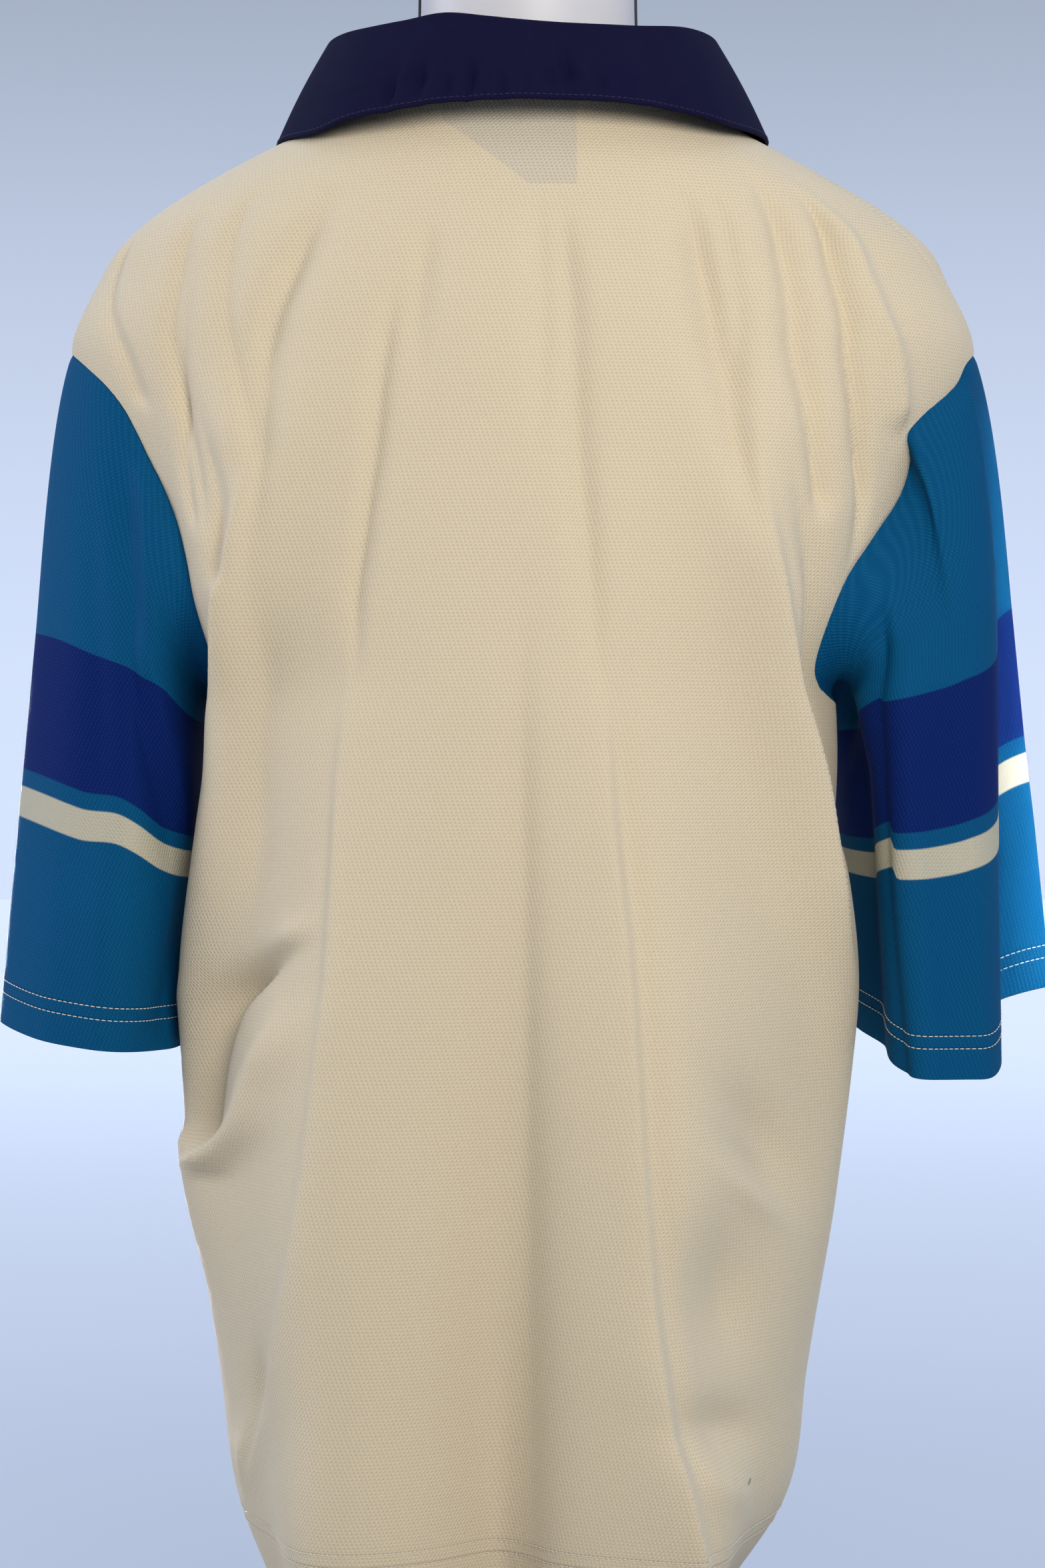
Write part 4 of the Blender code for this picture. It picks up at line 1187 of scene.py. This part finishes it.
def cuff_rows(side):
    """The points and normals of the stitches round a cuff."""
    count = 4 * SLEEVE_STEPS
    share = np.arange(count) / count
    hang = sleeve_ring(side, "cuff", share) - sleeve_ring(side, "top", share)
    rows = []
    for distance in CUFF_LINES:
        way = 1.0 - distance / np.linalg.norm(hang, axis=-1)
        points, normals = sleeve_surface(side, np.stack([way - CUFF_STEP, way, way + CUFF_STEP]))
        rows.append((points[1], normals[1], True))
    return rows


def hem_rows():
    angle = np.arange(0.0, 360.0, HEM_TURN)
    return [(body_point(angle, height), body_normal(angle, height), True) for height in HEM_LINES]


def collar_seam(way):
    """The collar's seam, just clear of the panels' neck edges: 0 centre back, 1 the right end."""
    out = np.abs(way)
    hand = np.sign(way)
    back_angle, back_height = neckline(out / COLLAR_SHOULDER, False)
    left = COLLAR_END + (1.0 - COLLAR_END) * (1.0 - out) / (1.0 - COLLAR_SHOULDER)
    front_angle, front_height = neckline(np.minimum(left, 1.0), True)
    behind = out < COLLAR_SHOULDER
    angle = np.where(behind, back_angle, 180.0 - front_angle) * hand
    height = np.where(behind, back_height, front_height)
    points = body_point(angle, height)
    normals = body_normal(angle, height)
    off = towards_middle(points, normals, np.gradient(points, axis=0))
    return points + (off + normals) * GAP


def collar_guide(name, way):
    """Points of the collar's fold or edge, with the way measured as for its seam."""
    points = np.stack([look_up(COLLAR_NAMES, COLLAR_GUIDES, name + "_" + axis, np.abs(way))
                       for axis in "xyz"], axis=-1)
    points[:, 0] *= np.sign(way)
    return points


def collar_grid():
    """Outer points, inner points and places on the flat cloth, from the seam to the edge."""
    way = np.linspace(1.0, -1.0, COLLAR_STEPS + 1)
    seam = collar_seam(way)
    fold = collar_guide("fold", way)
    edge = collar_guide("edge", way)
    for line, rises in ((fold, CREST_RISES), (edge, EDGE_RISES)):
        line[:, 2] += spline(*zip(*rises), line[:, 0])
    along = np.gradient(fold, axis=0)
    stand = unit(fold - seam)
    fall = unit(edge - fold)
    stand_out = unit(np.cross(stand, along))
    stand_out *= -np.sign(np.sum(stand_out * fall, axis=-1, keepdims=True))
    fall_out = unit(np.cross(along, fall))
    fall_out *= -np.sign(np.sum(fall_out * stand_out, axis=-1, keepdims=True))
    middle = fold - unit(stand_out + fall_out) * FOLD_RADIUS
    outer = []
    outs = []
    for t in np.arange(STAND_ROWS) / STAND_ROWS:
        outer.append(seam + (middle + stand_out * FOLD_RADIUS - seam) * t)
        outs.append(stand_out)
    bend = np.arccos(np.clip(np.sum(stand_out * fall_out, axis=-1, keepdims=True), -1.0, 1.0))
    for t in np.arange(FOLD_ROWS) / FOLD_ROWS:
        out = (np.sin((1.0 - t) * bend) * stand_out + np.sin(t * bend) * fall_out) / np.sin(bend)
        outer.append(middle + out * FOLD_RADIUS)
        outs.append(out)
    fall_top = middle + fall_out * FOLD_RADIUS
    for t in fine_steps(0.0, 1.0, FALL_ROWS, FALL_SHARES):
        roll = COLLAR_ROLL * math.sin(math.pi * t) + collar_puckers(edge[:, :1], t)
        outer.append(fall_top + (edge - fall_top) * t + fall_out * roll)
        outs.append(fall_out)
    outer = np.array(outer)
    inner = outer - COLLAR_CLOTH * np.array(outs)
    cloth = np.stack([arc_lengths(outer, 1), arc_lengths(outer, 0)], axis=-1)
    return outer, inner, cloth


def collar_puckers(x, way):
    """How far the puckers of the fall lift it, at places across and ways down it."""
    lift = 0.0 * x
    for middle, level, half_width, half_height, depth in PUCKERS:
        lift = lift + depth * np.exp(-((x - middle) / half_width) ** 2
                                     - ((way - level) / half_height) ** 2)
    return lift


def make_collar(material, thread):
    outer, inner, cloth = collar_grid()
    points = np.concatenate([outer, inner[::-1]])
    mesh = cloth_mesh("cloth_collar", points, np.concatenate([cloth, cloth[::-1]]), thick=True)
    collar = add_piece("cloth_collar", mesh, material, "collar")
    fall = outer[STAND_ROWS + FOLD_ROWS:]
    edge = fall[-1]
    inward = unit(fall[0] - edge)
    normals = grid_normals(outer)[-1]
    outward = np.sum(normals * (outer[-1] - inner[-1]), axis=-1, keepdims=True)
    normals = np.where(outward > 0, normals, -normals)
    stitch = stitches("stitches_collar", [(edge + inward * COLLAR_LINE, normals, False)], thread)
    return collar, stitch


def make_label(material):
    across = np.linspace(0.0, 1.0, LABEL_COLUMNS)
    x = LABEL_LEFT + (LABEL_RIGHT - LABEL_LEFT) * across
    slant = np.clip((LABEL_CORNER_X - x) / (LABEL_CORNER_X - LABEL_LEFT), 0.0, 1.0)
    bottom = LABEL_BOTTOM + (LABEL_CORNER_HEIGHT - LABEL_BOTTOM) * slant
    height = bottom + (LABEL_TOP - bottom) * np.linspace(0.0, 1.0, LABEL_ROWS)[:, None]
    angle = np.degrees(np.arcsin(x / body_column("right", height)))
    normals = body_normal(angle, height)
    face = body_point(angle, height) - LABEL_DEPTH * normals
    cloth = np.stack([arc_lengths(face, 1), arc_lengths(face, 0)], axis=-1)
    mesh = cloth_mesh("cloth_label", face, cloth)
    return add_piece("cloth_label", mesh, material, "neck_label")


# ---------------------------------------------------------------- the form and its stand


def form_loop(height, share):
    turn = 2 * np.pi * share
    depth = np.where(np.cos(turn) > 0, form_column("back", height), form_column("front", height))
    x = form_column("centre_x", height) + form_column("half_width", height) * np.sin(turn)
    y = form_column("centre_y", height) - depth * np.cos(turn)
    return np.stack([x, y, height + 0.0 * x], axis=-1)


def make_form(material):
    share = np.arange(FORM_COLUMNS) / FORM_COLUMNS
    heights = np.linspace(FORM_SECTIONS[0][0], FORM_SECTIONS[-1][0], FORM_ROWS + 1)
    loops = np.array([form_loop(height, share) for height in heights])
    add_piece("form_body", loft("form_body", loops), material, "form_torso")
    top = loops[-1]
    centre = top.mean(axis=0)
    cap_loops = []
    for t in np.linspace(0.0, 1.0, CAP_LOOPS):
        shrink = math.cos(t * math.pi / 2 * CAP_END)
        lift = GAP + CAP_HEIGHT * math.sin(t * math.pi / 2)
        cap_loops.append(centre + (top - centre) * shrink + np.array([0.0, 0.0, lift]))
    cap = loft("form_cap", np.array(cap_loops))
    add_piece("form_cap", cap, material, "form_neck_cap")


def make_trim(side, material):
    """The dark cord that trims the side seam of the form's neck."""
    hand = 1.0 if side == "right" else -1.0
    heights = np.linspace(TRIM_BOTTOM, TRIM_TOP, TRIM_LOOPS)
    middle = form_loop(heights, TRIM_SHARE * hand) + np.array([hand * TRIM_WIDTH / 2, 0.0, 0.0])
    loops = middle[:, None] + np.array(circle(1.0, 0.0, TRIM_SIDES)) * TRIM_WIDTH / 2
    name = "trim_" + side
    add_piece(name, loft(name, loops), material, "form_" + name)


def make_stand(material):
    pole_top = FORM_SECTIONS[0][0] - GAP
    pole_bottom = BASE_THICKNESS + GAP
    pole = turned("pole", [(POLE_RADIUS, pole_bottom), (POLE_RADIUS, pole_top)], POLE_SIDES)
    add_piece("pole", pole, material, "stand_pole")
    profile = [(BASE_RADIUS, 0.0), (BASE_RADIUS, BASE_THICKNESS - BASE_BEVEL)]
    for turn in np.linspace(0.0, math.pi / 2, BEVEL_STEPS + 1)[1:]:
        profile.append((BASE_RADIUS - BASE_BEVEL * (1.0 - math.cos(turn)),
                        BASE_THICKNESS - BASE_BEVEL * (1.0 - math.sin(turn))))
    base = turned("base", profile, BASE_SIDES)
    add_piece("base", base, material, "stand_base")


# ---------------------------------------------------------------- stage, lights and camera

# Colours of the floor at metres from the origin, and of the world above the horizon, by
# the rise of the direction. Both are what the camera sees, not what lights the shirt.
FLOOR_SHADES = ((0.4, (178, 192, 219)), (0.94, (187, 201, 230)), (1.44, (197, 211, 240)),
                (2.15, (203, 218, 247)), (3.25, (209, 224, 252)), (6.0, (214, 229, 254)))
FLOOR_RADIUS = 14.0
FLOOR_SIDES = 96
FLOOR_LIT = (0.46, 0.46, 0.46, 1.0)  # what the lights see of it
FLOOR_GLOW = 1.1
GLOW_RADII = (1.5, 5.0)  # from the first to the second, more of the floor is glow
GLOW_NEAR = 0.75  # its share inside the first, and how much it grows by
GLOW_MORE = 0.25
WORLD_SHADES = ((0.0, (214, 229, 254)), (0.03, (213, 227, 253)), (0.06, (208, 222, 249)),
                (0.09, (204, 217, 243)), (0.12, (197, 210, 234)), (0.16, (187, 199, 222)),
                (0.20, (173, 185, 206)), (0.2288, (164, 175, 195)))
# The world's light from the camera's side, which is a dim room, and from the backdrop, and
# how far behind the shirt a direction is as the one becomes the other.
FRONT_LIGHT = (0.16, 0.155, 0.15)
BACKDROP_LIGHT = (0.70, 0.82, 1.06)
BACKDROP_EDGES = (-0.70, 0.10)

# Each lamp's shape, place, aim, width, height, power, colour and beam in degrees.
COOL = (0.86, 0.92, 1.0)
LAMPS = {
    "key": ("DISK", (0.38, -1.55, 1.22), (0.0, 0.0, 0.60), 0.9, 0.9, 19.8, (1.0, 0.965, 0.90),
            180.0),
    "left fill": ("DISK", (-2.0, 0.10, 1.20), (0.0, 0.0, 0.35), 0.8, 0.8, 14.5, (0.95, 0.94, 1.0),
                  180.0),
    "sleeve light": ("RECTANGLE", (1.6, -1.1, 0.60), (0.345, 0.0, 0.57), 0.06, 0.36, 0.28,
                     (0.85, 0.94, 1.0), 4.0),
    "left rim": ("DISK", (-0.95, 1.90, 0.45), (-0.285, 0.0, 0.36), 0.30, 0.30, 0.6, COOL, 16.0),
    "right rim": ("DISK", (0.95, 1.90, 0.45), (0.285, 0.0, 0.36), 0.30, 0.30, 0.08, COOL, 16.0),
}


def linear(colour):
    """A colour in 0 to 255 screen steps as the renderer's own numbers, by the sRGB curve."""
    shares = np.array(colour) / 255.0
    return np.where(shares <= 0.04045, shares / 12.92, ((shares + 0.055) / 1.055) ** 2.4)


def shades(tree, value, stops):
    """A colour ramp through (value, screen colour) stops."""
    low = stops[0][0]
    high = stops[-1][0]
    share = calc(tree, "DIVIDE", calc(tree, "SUBTRACT", value, low), high - low)
    ramp = node(tree, "ValToRGB", {0: share})
    elements = ramp.color_ramp.elements
    for index, (place, colour) in enumerate(stops):
        at = (place - low) / (high - low)
        element = elements[index] if index < 2 else elements.new(at)
        element.position = at
        element.color = (*linear(colour), 1.0)
    return ramp.outputs[0]


def seen_directly(tree):
    """1 for rays from the camera and for those that a surface reflects or lets through."""
    rays = node(tree, "LightPath").outputs
    seen = calc(tree, "ADD", rays["Is Camera Ray"], rays["Is Glossy Ray"])
    return calc(tree, "MINIMUM", calc(tree, "ADD", seen, rays["Is Transmission Ray"]), 1.0)


def make_floor():
    points = np.array(circle(FLOOR_RADIUS, 0.0, FLOOR_SIDES))
    mesh = mesh_of("floor", points, [list(range(FLOOR_SIDES))])
    add_object("floor", mesh)
    material = bpy.data.materials.new("floor")
    material.use_nodes = True
    tree = material.node_tree
    tree.nodes.clear()
    place = node(tree, "TexCoord").outputs["Object"]
    radius = node(tree, "VectorMath", {0: place}, operation="LENGTH").outputs["Value"]
    colour = shades(tree, radius, FLOOR_SHADES)
    lit = node(tree, "BsdfDiffuse", {"Color": FLOOR_LIT})
    glow = node(tree, "Emission", {"Color": colour, "Strength": FLOOR_GLOW})
    own = soft_range(tree, radius, *GLOW_RADII)
    glowing = calc(tree, "MULTIPLY_ADD", own, GLOW_MORE, GLOW_NEAR)
    share = calc(tree, "MULTIPLY", seen_directly(tree), glowing)
    both = node(tree, "MixShader", {0: share, 1: lit.outputs[0], 2: glow.outputs[0]})
    node(tree, "OutputMaterial", {"Surface": both.outputs[0]})
    mesh.materials.append(material)


def make_world():
    world = bpy.data.worlds.new("studio")
    bpy.context.scene.world = world
    world.use_nodes = True
    tree = world.node_tree
    tree.nodes.clear()
    direction = node(tree, "TexCoord").outputs["Generated"]
    away, rise = node(tree, "SeparateXYZ", {0: direction}).outputs[1:3]
    seen = node(tree, "Background", {"Color": shades(tree, rise, WORLD_SHADES), "Strength": 1.0})
    behind = soft_range(tree, away, *BACKDROP_EDGES)
    around = mix(tree, behind, FRONT_LIGHT, BACKDROP_LIGHT)
    soft = node(tree, "Background", {"Color": around, "Strength": 1.0})
    inputs = {0: seen_directly(tree), 1: soft.outputs[0], 2: seen.outputs[0]}
    both = node(tree, "MixShader", inputs)
    node(tree, "OutputWorld", {"Surface": both.outputs[0]})


def make_lights():
    for name, (shape, place, aim, width, height, power, colour, beam) in LAMPS.items():
        light = bpy.data.lights.new(name, "AREA")
        light.shape = shape
        light.size = width
        light.size_y = height
        light.energy = power
        light.color = colour
        light.spread = math.radians(beam)
        lamp = add_object(name, light)
        lamp.location = place
        lamp.rotation_euler = (Vector(aim) - Vector(place)).to_track_quat("-Z", "Y").to_euler()


def make_camera():
    data = bpy.data.cameras.new("camera")
    data.lens = CAMERA_LENS
    data.sensor_width = SENSOR
    camera = add_object("camera", data)
    camera.location = CAMERA_PLACE
    camera.rotation_euler = (math.pi / 2, 0.0, 0.0)
    bpy.context.scene.camera = camera


# ---------------------------------------------------------------- all of it


def main():
    scene = bpy.context.scene
    scene.view_settings.view_transform = "Standard"
    make_camera()
    make_world()
    make_lights()
    make_floor()
    cream = body_cloth()
    teal = sleeve_cloth()
    navy = collar_cloth()
    plains = {name: plain(name, **look) for name, look in PLAINS.items()}
    thread = plains["pale thread"]

    back = make_panel("back", cream)
    front = make_panel("front", cream)
    hem = stitches("stitches_hem", hem_rows(), thread)
    for side in ("left", "right"):
        sleeve = make_sleeve(side, teal)
        cuff = stitches("stitches_cuff_" + side, cuff_rows(side), thread)
    collar, edge_stitch = make_collar(navy, plains["navy thread"])
    tag = make_label(plains["label weave"])
    make_form(plains["form shell"])
    for side in ("left", "right"):
        make_trim(side, plains["trim cord"])
    make_stand(plains["brushed steel"])


main()
